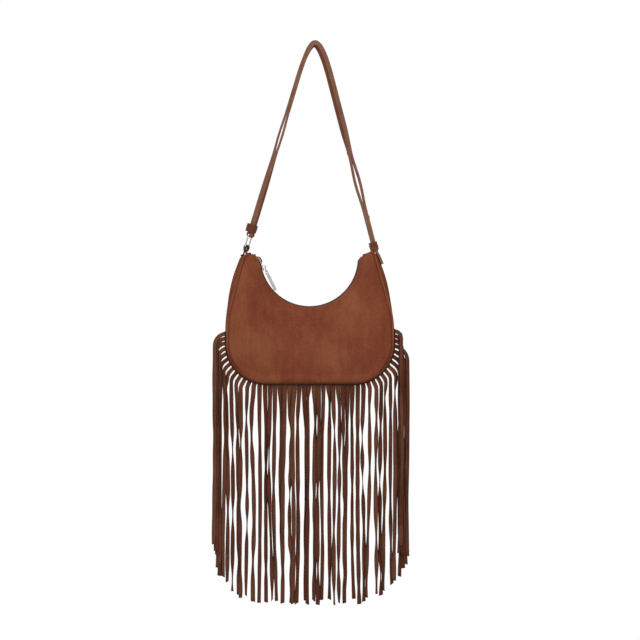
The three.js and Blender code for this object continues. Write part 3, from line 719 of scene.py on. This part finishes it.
bm = bmesh.new()
add_sheet(bm, 24, 12, place_bail)
close_tube(bm)
for size, height in ((upper_plate_size, upper_plate_height), (lower_plate_size, lower_plate_height)):
    plate = add_box(bm, Matrix.Translation((0, 0, height)), size)
    closed_end = [v for v in plate if v.co.x > 0]
    bmesh.ops.scale(bm, vec=(1, closed_end_taper, 1), verts=closed_end)
    upright = [e for e in edges_at(plate) if abs(e.verts[0].co.z - e.verts[1].co.z) > plate_thickness / 2]
    rounded = round_edges(bm, upright, plate_corner, 4)
    lids = {f for v in rounded["verts"] for f in v.link_faces if abs(f.normal.z) > 0.9}
    round_edges(bm, {e for f in lids for e in f.edges}, plate_edge, 2)
flange_y = (upper_plate_size[1] - flange_size[1]) / 2 - flange_inset
flange_z = upper_plate_height - (plate_thickness + flange_size[2]) / 2 + flange_sink
for side in (-1, 1):
    add_block(bm, Matrix.Translation((flange_back, side * flange_y, flange_z)), flange_size, small_bevel, 1)
neck_height = (upper_plate_height + lower_plate_height) / 2
add_block(bm, Matrix.Translation((0, 0, neck_height)), neck_size, small_bevel, 1)
move_to(bm, slider_place)
slider = make_piece("zip_slider_casting", bm, "slider", "nickel", nickel)
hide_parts("zip_slider")

# Pull ring: a small ring of round nickel wire, closed through the bail, that the pull hangs from.
# It lies over along the zip under the weight of the pull.
pull_ring_radius = 0.004
pull_ring_wire = 0.0007
pull_ring_pivot = -0.073
pull_ring_lean = math.radians(84)
pull_ring_place = (slider_place @ Matrix.Translation((0, 0, pull_ring_pivot))
                   @ Matrix.Rotation(pull_ring_lean, 4, "Y"))


def spin_round(bm, axis, steps):
    """Spin a profile once round an axis through the origin."""
    profile = bm.verts[:] + bm.edges[:]
    bmesh.ops.spin(bm, geom=profile, cent=(0, 0, 0), axis=axis, angle=math.tau, steps=steps, use_merge=True)
    bmesh.ops.remove_doubles(bm, verts=bm.verts, dist=1e-6)


bm = bmesh.new()
wire_place = Matrix.Translation((0, pull_ring_radius, 0))
bmesh.ops.create_circle(bm, segments=14, radius=pull_ring_wire, matrix=wire_place)
spin_round(bm, (1, 0, 0), 48)
move_to(bm, pull_ring_place @ Matrix.Translation((0, 0, pull_ring_radius)))
pull_ring = make_piece("zip_pull_ring_wire", bm, "pull_ring", "nickel", nickel)
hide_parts("zip_pull_ring")

# Pull: a flat bar stamped from nickel-plated sheet, with round ends, softened edges and an eye for
# its ring. It lies along the zip, flat to the front.
pull_length = 0.036
pull_width = 0.0050
pull_thickness = 0.0016
pull_hole = 0.0015
pull_eye_wall = 0.0016
pull_edge = 0.0004
pull_lean = math.radians(75.5)
touch_gap = 0.0003
eye_hang = pull_hole - pull_ring_wire - touch_gap
pull_start = eye_hang - pull_hole - pull_eye_wall
near_end = pull_start + pull_width / 2
pull_place = (pull_ring_place @ Matrix.Translation((0, 0, 2 * pull_ring_radius))
              @ Matrix.Rotation(pull_lean - pull_ring_lean, 4, "Y"))
bm = bmesh.new()
flat_to_front = Matrix.Rotation(math.pi / 2, 4, "X")
bmesh.ops.create_circle(bm, segments=40, radius=pull_width / 2,
                        matrix=Matrix.Translation((0, 0, near_end)) @ flat_to_front)
far_end = [v for v in bm.verts if v.co.z > near_end + 1e-5]
bmesh.ops.translate(bm, vec=(0, 0, pull_length - pull_width), verts=far_end)
bmesh.ops.create_circle(bm, segments=40, radius=pull_hole,
                        matrix=Matrix.Translation((0, 0, eye_hang)) @ flat_to_front)
bmesh.ops.bridge_loops(bm, edges=bm.edges[:])
bmesh.ops.translate(bm, vec=(0, -pull_thickness / 2, 0), verts=bm.verts)
lifted = bmesh.ops.extrude_face_region(bm, geom=bm.faces[:])
lifted_verts = [v for v in lifted["geom"] if isinstance(v, bmesh.types.BMVert)]
bmesh.ops.translate(bm, vec=(0, pull_thickness, 0), verts=lifted_verts)
face_out(bm)
rims = [e for e in bm.edges if len(e.link_faces) == 2 and e.calc_face_angle() > 1.2]
round_edges(bm, rims, pull_edge, 3)
move_to(bm, pull_place)
pull = make_piece("zip_pull_bar", bm, "pull", "nickel", nickel)
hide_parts("zip_pull")

# Piping: a narrow strip of suede rolled round a cord and sewn into each seam, so that a raised rim
# runs round the panel. Its ends taper into the tips, and along the bottom the roll is darkened with painted
# shade.
piping_radius = 0.002
edge_gap = 0.0005
piping_colour = (0.215, 0.061, 0.029)
piping_ripple = 0.00014
piping_taper = 0.028
end_radius = 0.25
end_reach = -0.2
painted_shade_depths = (0.125, 0.190)
# Its last number sets how strongly the painted shade darkens the bottom of the roll.
piping_suede_painted_shade = suede("piping_suede_painted_shade", piping_colour, 40.0, 0.8, 0.06, 0.62)
for node, side in (("front_piping", -1), ("back_piping", 1)):
    bm = bmesh.new()

    def place_piping(along, around):
        at, out = seam_at(along)
        angle = math.tau * around
        full = smoothstep(0, piping_taper, min(along, 1 - along))
        radius = (piping_radius + piping_ripple * pucker_wave(along)) * lerp(end_radius, 1, full)
        reach = piping_radius * lerp(end_reach, 1, full) + edge_gap + radius * math.cos(angle)
        depth = seam_half_depth(at.y) + radius * math.sin(angle)
        return beside(at, out, reach, side * depth)

    roll_painted_shade = bm.verts.layers.float.new("shade")
    add_sheet(bm, 420, 12, place_piping)
    close_tube(bm)
    # Painted shade: the roll grows darker towards the bottom of the bag.
    for vertex in bm.verts:
        vertex[roll_painted_shade] = -smoothstep(*painted_shade_depths, arc_centre.z - vertex.co.z)
    piping = make_piece(node + "_roll", bm, "bag", "panel_suede", piping_suede_painted_shade)
    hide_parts(node)

# Fringe: one length of suede, cut into strips up to a narrow uncut header that is sewn in behind the
# front piping. Each strip has its own shade and turns and sways in its own way. The strips bunch at the
# sides, and at the right shoulder they reach out unevenly.
fringe_top = -0.118
header_depth = 0.006
strip_count = 48
strip_length = 0.348
strip_width = 0.0066
strip_thickness = 0.0012
strip_bend = 0.0135
bend_per_rise = 0.38
right_shoulder = (0.42, 0.42, 0.75, 1.75, 1.9, 1.6, 1.35, 1.15)
root_droop = 0.30
root_width = (0.0077, 0.0064)
root_run = (0.001, 0.0030, 0.0080)
hang_layer = 0.0016
bunch_layer = 0.0015
header_half = 0.0007
strip_steps = 64
fringe_colour = (0.112, 0.038, 0.020)
# The strips' backs and cut edges are real, but their dark colours are painted shade that darkens strips
# where they turn edge-on.
reverse_shade_colour = (0.060, 0.023, 0.014)
fringe_edge_shade_colour = (0.058, 0.026, 0.018)
header_y = -half_depth + piping_radius + touch_gap + header_half
header_edge = edge_gap + header_depth
root_overlap = 0.001
fringe_suede = suede("fringe_suede", fringe_colour, 30.0, 1.0, 0.12, 0.50)
fringe_reverse_shaded = suede("fringe_reverse_shaded", reverse_shade_colour, 30.0, 1.0, 0.10, 0.50)
fringe_shaded_edge = suede("fringe_cut_edge_shaded", fringe_edge_shade_colour, 60.0, 0.7, 0.1)
fringe_draw = random.Random(7)


def seam_share_at(height):
    """The share of the seam, on its left side, that lies at that height."""
    above, below = 0.0, 0.5
    for _ in range(40):
        middle = (above + below) / 2
        if seam_at(middle)[0].y > height:
            above = middle
        else:
            below = middle
    return above


def wave_at(distance, wave, start):
    return math.sin(math.tau * distance / wave + start)


def strip_place(index):
    """The course of one strip: it leaves the seam squarely, bends down, then hangs, turns and sways."""
    draw = fringe_draw.uniform
    root, out = seam_at(lerp(fringe_start, 1 - fringe_start, (index + 0.5) / strip_count))
    start = root + out * (header_edge - root_overlap)
    out = (out + Vector((0, -root_droop * smoothstep(0.3, 1, abs(out.x))))).normalized()
    turn = math.atan2(out.x, -out.y)
    steep = abs(turn)
    side = math.copysign(1, turn)
    rise = max(0.0, root.y - (body_bottom + corner_radius))
    bend = (strip_bend + rise * bend_per_rise) * draw(0.93, 1.07)
    place_in_bunch = min(index, strip_count - 1 - index)
    if side > 0 and place_in_bunch < len(right_shoulder):
        bend *= right_shoulder[place_in_bunch]
    at_corner = smoothstep(0.15, 0.5, steep) * (1 - smoothstep(0.8, 1.15, steep))
    side_run = lerp(root_run[0], root_run[1], smoothstep(0.5, 1.1, steep))
    straight = (root_overlap + lerp(side_run, root_run[2], at_corner)) * draw(0.8, 1.2)
    first_width = lerp(*root_width, smoothstep(0.15, 0.7, steep))
    width_settles = draw(0.012, 0.075)
    length = strip_length * draw(0.985, 1.012)
    bend_end = straight + bend * steep
    bunched = smoothstep(0.6, 1.2, steep)
    swing = math.radians(draw(30, 75)) * (1 - 0.8 * bunched)
    swing_wave, swing_start = draw(0.15, 0.30), draw(0, math.tau)
    flutter = math.radians(draw(8, 28)) * (1 - 0.6 * bunched)
    flutter_wave, flutter_start = draw(0.06, 0.11), draw(0, math.tau)
    sway, sway_wave, sway_start = draw(0.0004, 0.0016), draw(0.22, 0.45), draw(0, math.tau)
    width = strip_width * draw(0.9, 1.08)
    lean = draw(-0.0035, 0.0035) * (1 - 0.4 * bunched)
    drift = draw(-0.0022, 0.0022) * (1 - bunched)
    layer = lerp(((index * 2) % 5 - 2) * hang_layer, (place_in_bunch - 4) * bunch_layer, bunched)
    depth_sway, depth_wave = draw(0.0005, 0.002), draw(0.12, 0.25)
    shingle = lerp(1, draw(0.36, 0.56), bunched)
    settle = draw(0.02, 0.09)
    cup = draw(-0.0006, 0.0006)
    slant = draw(-0.0016, 0.0016)

    def place(along, across):
        run = along * (length + slant * (across * 2 - 1) * smoothstep(0.9, 1, along))
        bent = clamp((run - straight) / max(1e-6, bend * steep))
        still_turned = turn * (1 - bent)
        at = start + out * min(run, straight)
        if run > straight:
            at.x += side * bend * (math.cos(still_turned) - math.cos(turn))
            at.y -= bend * (math.sin(steep) - math.sin(abs(still_turned)))
        hung = max(0.0, run - bend_end)
        at.y -= hung
        loose = smoothstep(0, settle, hung)
        at.x += loose * (sway * wave_at(hung, sway_wave, sway_start) + drift) + lean * (hung / length) ** 2
        overlap = shingle * lerp(1, bunched, smoothstep(0, 0.06, hung))
        twist = turn * overlap * smoothstep(0.1, 1, bent)
        twist += loose * swing * wave_at(hung, swing_wave, swing_start)
        twist += loose * flutter * wave_at(hung, flutter_wave, flutter_start)
        y = header_y + layer * smoothstep(0, 0.05, run)
        y += loose * depth_sway * wave_at(hung, depth_wave, sway_start)
        flat = (across - 0.5) * lerp(first_width, width, smoothstep(0, width_settles, run))
        thick = cup * ((across * 2 - 1) ** 2 - 0.3) * loose
        in_plane = flat * math.cos(twist) - thick * math.sin(twist)
        y += flat * math.sin(twist) + thick * math.cos(twist)
        return in_bag(at.x + in_plane * math.cos(still_turned), y, at.y + in_plane * math.sin(still_turned))

    return place


def place_header(along, across):
    reach = lerp(edge_gap, header_edge, across)
    return beside(*seam_at(lerp(fringe_start, 1 - fringe_start, along)), reach, header_y)


fringe_start = seam_share_at(fringe_top)
bm = bmesh.new()
strip_shade = bm.verts.layers.float.new("shade")
add_sheet(bm, 300, 2, place_header)
for i in range(strip_count):
    strip_verts = add_sheet(bm, strip_steps, 3, strip_place(i))
    shade = fringe_draw.uniform(-0.5, 0.5)
    for vertex in strip_verts:
        vertex[strip_shade] = shade
fringe = make_piece("fringe_strips", bm, "bag", "fringe_suede", fringe_suede, fringe_reverse_shaded, fringe_shaded_edge)
thicken(fringe, strip_thickness, 1, 2)
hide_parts("fringe")

# Gusset: one long strip of the same suede between the two pipings, round the sides and the bottom.
# It swells out between the shoulders and the tips, and its edges pucker along the seams.
side_bulge = 0.0026
shoulder_swell = 0.009
swell_top = 0.040
gusset_offset = suede_thickness / 2 + touch_gap
fringe_room = 0.0020
front_layer = piping_radius + fringe_room
plain_layer = piping_radius + touch_gap
layer_change = 0.008
tips_still = (0.10, 0.18)
gusset_slack = slack * 0.6
gusset_colour = (0.168, 0.045, 0.021)
gusset_pucker = 0.0005
gusset_suede = suede("gusset_suede", gusset_colour, 11.0, 1.3, 0.06)


def gusset_point(along, across, lift=0.0):
    at, out = seam_at(along)
    depth = seam_half_depth(at.y)
    up = clamp((at.y - shoulder_height) / (swell_top - shoulder_height))
    bulge = (side_bulge + shoulder_swell * math.sin(math.pi * up) ** 2) * (1 - max(0.0, out.y))
    reach = gusset_offset + bulge * bow(across) + lift
    front = lerp(front_layer, plain_layer, smoothstep(fringe_top, fringe_top + layer_change, at.y))
    return beside(at, out, reach, lerp(front - depth, depth - plain_layer, across))


def place_gusset(along, across):
    along = crowd(along, tip_crowding)
    edge = max(0.0, 1 - 6 * min(across, 1 - across))
    pucker = gusset_pucker * edge * pucker_wave(along)
    from_tips = smoothstep(*tips_still, min(along, 1 - along))
    soft = gusset_slack * noise.noise(Vector((along * 22, across * 2, 3))) * bow(across) * from_tips
    return gusset_point(along, across, pucker + soft)


bm = bmesh.new()
add_sheet(bm, 400, 22, place_gusset)
bm.normal_update()
lowest = min(bm.faces, key=lambda face: face.calc_center_median().z)
if lowest.normal.z > 0:
    bmesh.ops.reverse_faces(bm, faces=bm.faces)
gusset = make_piece("gusset_suede", bm, "bag", "gusset_suede", gusset_suede)
thicken(gusset, suede_thickness)
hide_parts("gusset")

# Lining: a thin woven pouch that hangs from the zip tapes inside the suede, folded at the bottom
# from one piece and sewn up its sides.
lining_gap = 0.0025
lining_thickness = 0.0006
lining_front = 0.4
lining_ends = 0.07
lining_top = 0.010
lining_low = 0.006
lining_sides = 0.12
lining_cloth = woven("lining_weave", (0.045, 0.025, 0.018), 500, 700, 0.6)


def place_lining(along, across):
    along = lerp(lining_ends, 1 - lining_ends, along)
    from_edge = min(across, 1 - across)
    if from_edge <= lining_front:
        length = panel_ends(along)[2]
        down = lerp(lining_top, length - lining_low, from_edge / lining_front) / length
        return panel_point(along, down, -1 if across < 0.5 else 1, -lining_gap)
    floor_share = (across - lining_front) / (1 - 2 * lining_front)
    return gusset_point(along, lerp(lining_sides, 1 - lining_sides, floor_share), -lining_gap)


bm = bmesh.new()
add_sheet(bm, 120, 40, place_lining)
face_out(bm)
lining = make_piece("lining_pouch", bm, "bag", "lining_cloth", lining_cloth)
thicken(lining, lining_thickness)
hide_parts("lining")

# Ring tab: a short suede strip folded round the ring's lower bar and drawn together below it. Its two
# ends are sewn to the left tip, one on its top and one on its side.
strap_thickness = 0.003
ply_gap = 0.0008
apex_radius = 0.0106
apex_step = math.radians(15)
ring_turn = math.radians(-20)
ring_length = 0.024
ring_wire = 0.0024
tab_width = 0.008
tab_thickness = 0.0024
run_gap = 0.0005
inner_ply_radius = apex_radius + strap_thickness / 2
ply_half = (strap_thickness + ply_gap) / 2
leg_radius = inner_ply_radius + ply_half
apex = Vector((0, strap_thickness / 2 - inner_ply_radius * math.cos(apex_step / 2)))
ring_joint = next(j for j in frame["joints"] if j["name"] == "ring_swing")
ring_bottom = Vector((ring_joint["pos_m"][0], ring_joint["pos_m"][2]))
keeper_low, keeper_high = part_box("right_keeper")
right_end = Vector(((keeper_low.x + keeper_high.x) / 2, (keeper_low.z + keeper_high.z) / 2))


def leg_up(end):
    """Direction up a leg, from its lower end to where it touches the arc over the hanging point."""
    away = end - apex
    tilt = math.atan2(abs(away.x), -away.y) - math.asin(leg_radius / away.length)
    return Vector((-math.copysign(math.sin(tilt), away.x), math.cos(tilt)))


left_up = leg_up(ring_bottom)
left_out = Vector((-left_up.y, left_up.x))
right_up = leg_up(right_end)
right_out = Vector((right_up.y, -right_up.x))
ring_top = ring_bottom + left_up * (ring_length - ring_wire)


def standing(flat):
    """A point of the plane of X and Z as a place in space."""
    return Vector((flat.x, 0, flat.y))


def turn_on_leg(point, foot, up, angle):
    """Turn a point about the line of a leg."""
    middle = standing(foot)
    return Matrix.Rotation(angle, 3, standing(up)) @ (point - middle) + middle


def strip_mesh(stations, width, across_steps):
    """A flat strip through stations (point, foot, up, turn) in the plane of X and Z, its width along Y."""
    bm = bmesh.new()
    last = len(stations) - 1

    def place(along, across):
        point, foot, up, turn = stations[round(along * last)]
        return turn_on_leg(Vector((point.x, (across - 0.5) * width, point.y)), foot, up, turn)

    add_sheet(bm, last, across_steps, place)
    return bm


def on_gusset(from_corner, lift, end):
    """A point on the outer side of the gusset's middle, a distance down from a tip's corner."""
    share = (tip_width + from_corner) / seam_at.length
    point = gusset_point(share if end == 0 else 1 - share, 0.5, lift)
    return Vector((point.x, point.z))


tab_lift = suede_thickness / 2 + touch_gap + tab_thickness / 2
tab_fold = ring_wire / 2 + run_gap + tab_thickness / 2
tab_layer = tab_thickness + touch_gap
tab_pinch = 0.0065
tab_fall = 0.0030
tab_top_feet = (-0.003, -0.006, -0.009)
tab_side_feet = (0.0, 0.0012, 0.0024)
tab_steps = 8
fold_steps = 12
cut_soften = 0.0003
# The tab is coloured dark as painted shade, standing for the shadow in its loop, and its cut edge is a
# lighter copy of that colour.
tab_painted_shade_colour = (0.062, 0.024, 0.017)
shaded_tab_suede = suede("shaded_tab_suede", tab_painted_shade_colour, 60.0, 1.0)
shaded_tab_edge = suede("shaded_tab_cut_edge", tinted(tab_painted_shade_colour, 1.3, 1.4, 1.5), 60.0, 0.7)


def tab_ply(feet, side):
    """One ply of the tab, from the ring's bar through the pinch below it to its foot on the gusset."""
    start = ring_bottom + left_out * side * tab_fold
    neck = ring_bottom - left_up * tab_pinch + left_out * side * tab_layer / 2
    foot = on_gusset(feet[0], tab_lift, 0)
    drop = curve_between(start, start - left_up * tab_fall, neck, tab_steps)[:-1]
    drop += curve_between(neck, neck - left_up * tab_fall, foot, tab_steps)
    ply = [(p, ring_turn * (1 - smoothstep(0, 2 * tab_steps, i))) for i, p in enumerate(drop)]
    return ply + [(on_gusset(d, tab_lift, 0), 0.0) for d in feet[1:]]


tab_course = tab_ply(tab_top_feet, -1)[::-1]
for i in range(1, fold_steps):
    angle = math.pi * (1 - i / fold_steps)
    bent = left_out * math.cos(angle) + left_up * math.sin(angle)
    tab_course.append((ring_bottom + bent * tab_fold, ring_turn))
tab_course += tab_ply(tab_side_feet, 1)
tab_stations = [(point, ring_top, left_up, turn) for point, turn in tab_course]
bm = strip_mesh(tab_stations, tab_width, 4)
face_out(bm)
tab = make_piece("ring_tab_suede", bm, "bag", "strap_suede", shaded_tab_suede, shaded_tab_edge)
thicken(tab, tab_thickness, 0, 1, cut_soften)
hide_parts("ring_tab")

# Strap ring: a rounded rectangle of nickel wire between the tab and the strap, its long side along
# the strap. It swings in the tab's fold.
ring_side_gap = 0.0011
strap_width = 0.012
ring_width = strap_width + 2 * (ring_side_gap + ring_wire)
ring_corner = 0.0026
ring_half = Vector(((ring_width - ring_wire) / 2, (ring_length - ring_wire) / 2))
ring_course = [Vector((ring_half.x, 0))]
for i, (x, y) in enumerate(((1, 1), (-1, 1), (-1, -1), (1, -1))):
    middle = (x * (ring_half.x - ring_corner), y * (ring_half.y - ring_corner))
    ring_course += arc(middle, ring_corner, i * math.pi / 2, (i + 1) * math.pi / 2, 10)
ring_at = walk_along(ring_course + ring_course[:1])
ring_middle = (ring_top + ring_bottom) / 2


def leg_frame(at, up, turn):
    """A place on a leg: X across it, Y towards the back and Z up it, turned about it."""
    axes = turned(standing(at), Vector((up.y, 0, -up.x)), Vector((0, 1, 0)), standing(up))
    return axes @ Matrix.Rotation(turn, 4, "Z")


def place_ring(along, around):
    at, out = ring_at(along)
    angle = math.tau * around
    reach = ring_wire / 2 * math.cos(angle)
    return Vector((ring_wire / 2 * math.sin(angle), at.x + out.x * reach, at.y + out.y * reach))


bm = bmesh.new()
add_sheet(bm, 160, 14, place_ring)
close_tube(bm)
move_to(bm, leg_frame(ring_middle, left_up, ring_turn))
ring = make_piece("strap_ring_wire", bm, "ring", "nickel", nickel)
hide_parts("strap_ring")

# Strap: one long strip of suede with raw cut edges. Its tail is sewn to the right side of the gusset.
# It rises through the keeper, runs over the top to the ring, folds round it and comes back beside
# itself to the keeper.
keeper_drop = 0.0032
left_keeper_height = 0.013
right_keeper_height = 0.014
ply_end_lap = 0.003
tail_distances = (0.019, 0.0143, 0.0097, 0.005)
tail_steps = 6
strap_lift = suede_thickness / 2 + touch_gap + strap_thickness / 2
strap_fold = ring_wire / 2 + run_gap + strap_thickness / 2
right_turn = math.radians(24)
right_turn_from = (0.150, 0.200)
top_turn = (0.25, 0.8)
left_turn_to = (0.060, 0.165)
right_parting = (0.058, 0.152, 0.0020)
left_parting = (0.128, 0.206, 0.0010)
leg_steps = 90
bend_steps = 24
arch_drop = 0.046
arch_rise = 0.022
arch_handle = 0.0092
band_thickness = 0.0037
strap_colour = (0.190, 0.068, 0.034)
strap_edge_colour = (0.212, 0.103, 0.069)
strap_suede = suede("strap_suede", strap_colour, 30.0, 0.9)
strap_edge = suede("strap_cut_edge", strap_edge_colour, 60.0, 0.7, 0.1)
right_length = (apex + right_out * leg_radius - right_end).dot(right_up)
left_length = (apex + left_out * leg_radius - ring_top).dot(left_up)


def smooth_course(points, steps):
    """Points on a smooth curve through the given ones."""
    padded = [points[0] * 2 - points[1], *points, points[-1] * 2 - points[-2]]
    course = []
    for a, b, c, d in zip(padded, padded[1:], padded[2:], padded[3:]):
        for i in range(steps):
            t = i / steps
            course.append(0.5 * (2 * b + (c - a) * t + (2 * a - 5 * b + 4 * c - d) * t * t
                                 + (3 * b - a - 3 * c + d) * t ** 3))
    return course + [points[-1]]


def arch(foot, up, handle):
    """Half of the strap's bend over its hanging point, from a leg up to the top."""
    a, b, c, d = foot, foot + up * arch_rise, peak + Vector((handle, 0)), peak
    course = []
    for i in range(bend_steps + 1):
        t = i / bend_steps
        course.append(a * (1 - t) ** 3 + b * 3 * t * (1 - t) ** 2 + c * 3 * t * t * (1 - t) + d * t ** 3)
    return course


def parting(height, low, high, most):
    """How far each ply bows away from the leg's line between two heights."""
    return most * math.sin(math.pi * clamp((height - low) / (high - low))) ** 2


strap_line = []
for i in range(leg_steps + 1):
    height = lerp(-right_keeper_height / 2 - ply_end_lap, right_length - arch_drop, i / leg_steps)
    turn = right_turn * smoothstep(*right_turn_from, height)
    at = right_end + right_up * height
    strap_line.append((at, right_out, right_up, turn, parting(height, *right_parting)))
peak = apex + Vector((0, leg_radius))
left_foot = ring_top + left_up * (left_length - arch_drop)
right_half = arch(strap_line[-1][0], right_up, arch_handle)
left_half = arch(left_foot, left_up, -arch_handle)[::-1]
bend = right_half + left_half[1:]
for i, (before, at, after) in enumerate(zip(bend, bend[1:], bend[2:])):
    way = (after - before).normalized()
    turn = right_turn * (1 - smoothstep(*top_turn, i / len(bend)))
    strap_line.append((at, Vector((way.y, -way.x)), way, turn, 0.0))
for i in range(leg_steps + 1):
    height = lerp(left_length - arch_drop, keeper_drop, i / leg_steps)
    turn = -ring_turn * (1 - smoothstep(*left_turn_to, height))
    at = ring_top + left_up * height
    strap_line.append((at, left_out, -left_up, turn, parting(height, *left_parting)))
outer_ply = [(c + o * (ply_half + p), c, axis, turn) for c, o, axis, turn, p in strap_line]
inner_ply = [(c - o * (ply_half + p), c, axis, turn) for c, o, axis, turn, p in reversed(strap_line)]
ring_fold = []
for i in range(fold_steps + 1):
    angle = math.pi * i / fold_steps
    bent = left_out * math.cos(angle) - left_up * math.sin(angle)
    ring_fold.append((ring_top + bent * strap_fold, ring_top, -left_up, -ring_turn))
tail_points = [on_gusset(d, strap_lift, 1) for d in tail_distances]
tail_course = smooth_course(tail_points + [outer_ply[0][0], outer_ply[1][0]], tail_steps)[:-tail_steps - 1]
tail = [(point, right_end, right_up, 0.0) for point in tail_course]
bm = strip_mesh(tail + outer_ply + ring_fold + inner_ply, strap_width, 4)
face_out(bm)
strap = make_piece("strap_band", bm, None, "strap_suede", strap_suede, strap_edge)
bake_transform(strap)
thicken(strap, band_thickness, 0, 1, cut_soften)
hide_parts("strap")

# Keepers: short bands of the same suede that hold the two plies together beside the ring and above
# the right tip. Each is wrapped tightly round, lapped over its own end and sewn.
keeper_wall = 0.002
keeper_hole = (ply_half + strap_thickness / 2 + touch_gap, strap_width / 2 + touch_gap)
keeper_lap = 1.09
lap_rise = (0.96, 1.03)
lap_gap = 0.0001
keeper_lump = 0.0004
keeper_squareness = 0.28
keeper_soften = 0.0004
left_keeper_middle = ring_top + left_up * (keeper_drop + left_keeper_height / 2)
keeper_colour = (0.150, 0.054, 0.026)
keeper_suede = suede("keeper_suede", keeper_colour, 60.0, 1.0)
for node, body, at, up, turn, height in (
    ("left_keeper", "ring", left_keeper_middle, left_up, ring_turn, left_keeper_height),
    ("right_keeper", "bag", right_end, right_up, 0.0, right_keeper_height),
):
    bm = bmesh.new()

    def place_keeper(along, across):
        round_it = along * keeper_lap
        x, y = rounded_loop(1, 1, round_it + 0.5, keeper_squareness)
        lump = keeper_lump * (1 + noise.noise(Vector((x * 1.5, y * 1.5, across * 2 + height * 900))))
        grow = keeper_wall / 2 + lump * math.sin(math.pi * across)
        grow += (keeper_wall + lap_gap) * smoothstep(*lap_rise, round_it)
        return Vector((x * (keeper_hole[0] + grow), y * (keeper_hole[1] + grow), (across - 0.5) * height))

    add_sheet(bm, 96, 8, place_keeper)
    move_to(bm, leg_frame(at, up, turn))
    keeper = make_piece(node + "_band", bm, body, "strap_suede", keeper_suede, strap_edge)
    thicken(keeper, keeper_wall, 0, 1, keeper_soften)
    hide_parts(node)

# Rivets: two small domed rivets of darkened nickel through both plies of the right leg, so that they
# can't slide on each other. The upper one has its head inwards and the lower one outwards.
rivet_drops = (("strap_rivet_upper", -0.172, -1), ("strap_rivet_lower", -0.276, 1))
rivet_head = 0.0032
rivet_crown = 0.0014
rivet_shank = 0.0012
rivet_washer = 0.0026
washer_thickness = 0.0006
head_rim = 0.0002
crown_steps = 8
rivet_seat = ply_half + strap_thickness / 2
rivet_back = -rivet_seat - washer_thickness
rivet_profile = [(0, rivet_back), (rivet_washer, rivet_back), (rivet_washer, -rivet_seat)]
rivet_profile += [(rivet_shank, -rivet_seat), (rivet_shank, rivet_seat), (rivet_head, rivet_seat)]
for i in range(crown_steps + 1):
    angle = math.pi / 2 * i / crown_steps
    rise = head_rim + rivet_crown * math.sin(angle)
    rivet_profile.append((rivet_head * math.cos(angle), rivet_seat + rise))
aged_nickel = polished("aged_nickel", (0.20, 0.145, 0.09), 0.36)
for node, drop, facing in rivet_drops:
    height = (drop - right_end.y) / right_up.y
    at = right_end + right_up * height
    axis = standing(right_out) * facing
    bm = bmesh.new()
    rivet_verts = [bm.verts.new((radius, 0, z)) for radius, z in rivet_profile]
    for pair in zip(rivet_verts, rivet_verts[1:]):
        bm.edges.new(pair)
    spin_round(bm, (0, 0, 1), 28)
    upright = Vector((0, 1, 0)).cross(axis)
    move_to(bm, turned(standing(at), upright, axis.cross(upright), axis))
    rivet = make_piece(node + "_dome", bm, "bag", "nickel", aged_nickel)
    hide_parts(node)

# Studio: a pale floor under the hanging bag, a white surround, one large soft light from the front left
# and a weaker one from the right.
floor_drop = 0.30
floor_height = cad_box[0].z - floor_drop
floor_size = 2.8
floor_paint = (0.82, 0.82, 0.82)
floor_glow = 0.55
surround_light = 0.44
area_lights = (
    ("key_light", (-0.9, -2.1, 1.6), 1.6, 47.5),
    ("fill_light", (1.8, -2.3, 0.3), 1.6, 17.0),
)


def seen_directly(nodes, link):
    """1 for what is seen straight, in a gloss or through a clear piece, and 0 for light on things."""
    path = nodes.new("ShaderNodeLightPath")
    total = path.outputs["Is Camera Ray"]
    for ray in ("Is Glossy Ray", "Is Transmission Ray"):
        more = nodes.new("ShaderNodeMath")
        more.operation = "MAXIMUM"
        link(total, more.inputs[0])
        link(path.outputs[ray], more.inputs[1])
        total = more.outputs[0]
    return total


bpy.context.scene.view_settings.view_transform = "Standard"
world = bpy.data.worlds.new("white_surround")
bpy.context.scene.world = world
world.use_nodes = True
nodes, link = world.node_tree.nodes, world.node_tree.links.new
lit = nodes["Background"]
shown = nodes.new("ShaderNodeBackground")
mix = nodes.new("ShaderNodeMixShader")
link(seen_directly(nodes, link), mix.inputs["Fac"])
for socket, white, strength in ((1, lit, surround_light), (2, shown, 1)):
    set_inputs(white, Color=(1, 1, 1, 1), Strength=strength)
    link(white.outputs["Background"], mix.inputs[socket])
link(mix.outputs["Shader"], nodes["World Output"].inputs["Surface"])

paint, paint_shader, link = new_material("floor_paint")
set_inputs(paint_shader, Base_Color=(*floor_paint, 1), Roughness=1, Emission_Color=(1, 1, 1, 1))
glow = add_node(paint, "Math")
glow.operation = "MULTIPLY"
glow.inputs[1].default_value = floor_glow
link(seen_directly(paint.node_tree.nodes, link), glow.inputs[0])
link(glow.outputs[0], paint_shader.inputs["Emission Strength"])
bm = bmesh.new()
bmesh.ops.create_grid(bm, x_segments=1, y_segments=1, size=floor_size / 2,
                      matrix=Matrix.Translation((0, 0, floor_height)))
floor_mesh = bpy.data.meshes.new("floor")
bm.to_mesh(floor_mesh)
bm.free()
floor_mesh.materials.append(paint)
floor = bpy.data.objects.new("floor", floor_mesh)
bpy.context.scene.collection.objects.link(floor)
for name, place, size, power in area_lights:
    lamp = bpy.data.objects.new(name, bpy.data.lights.new(name, "AREA"))
    lamp.data.size = size
    lamp.data.energy = power
    lamp.location = place
    lamp.rotation_euler = (picture_middle - Vector(place)).to_track_quat("-Z", "Y").to_euler()
    bpy.context.scene.collection.objects.link(lamp)
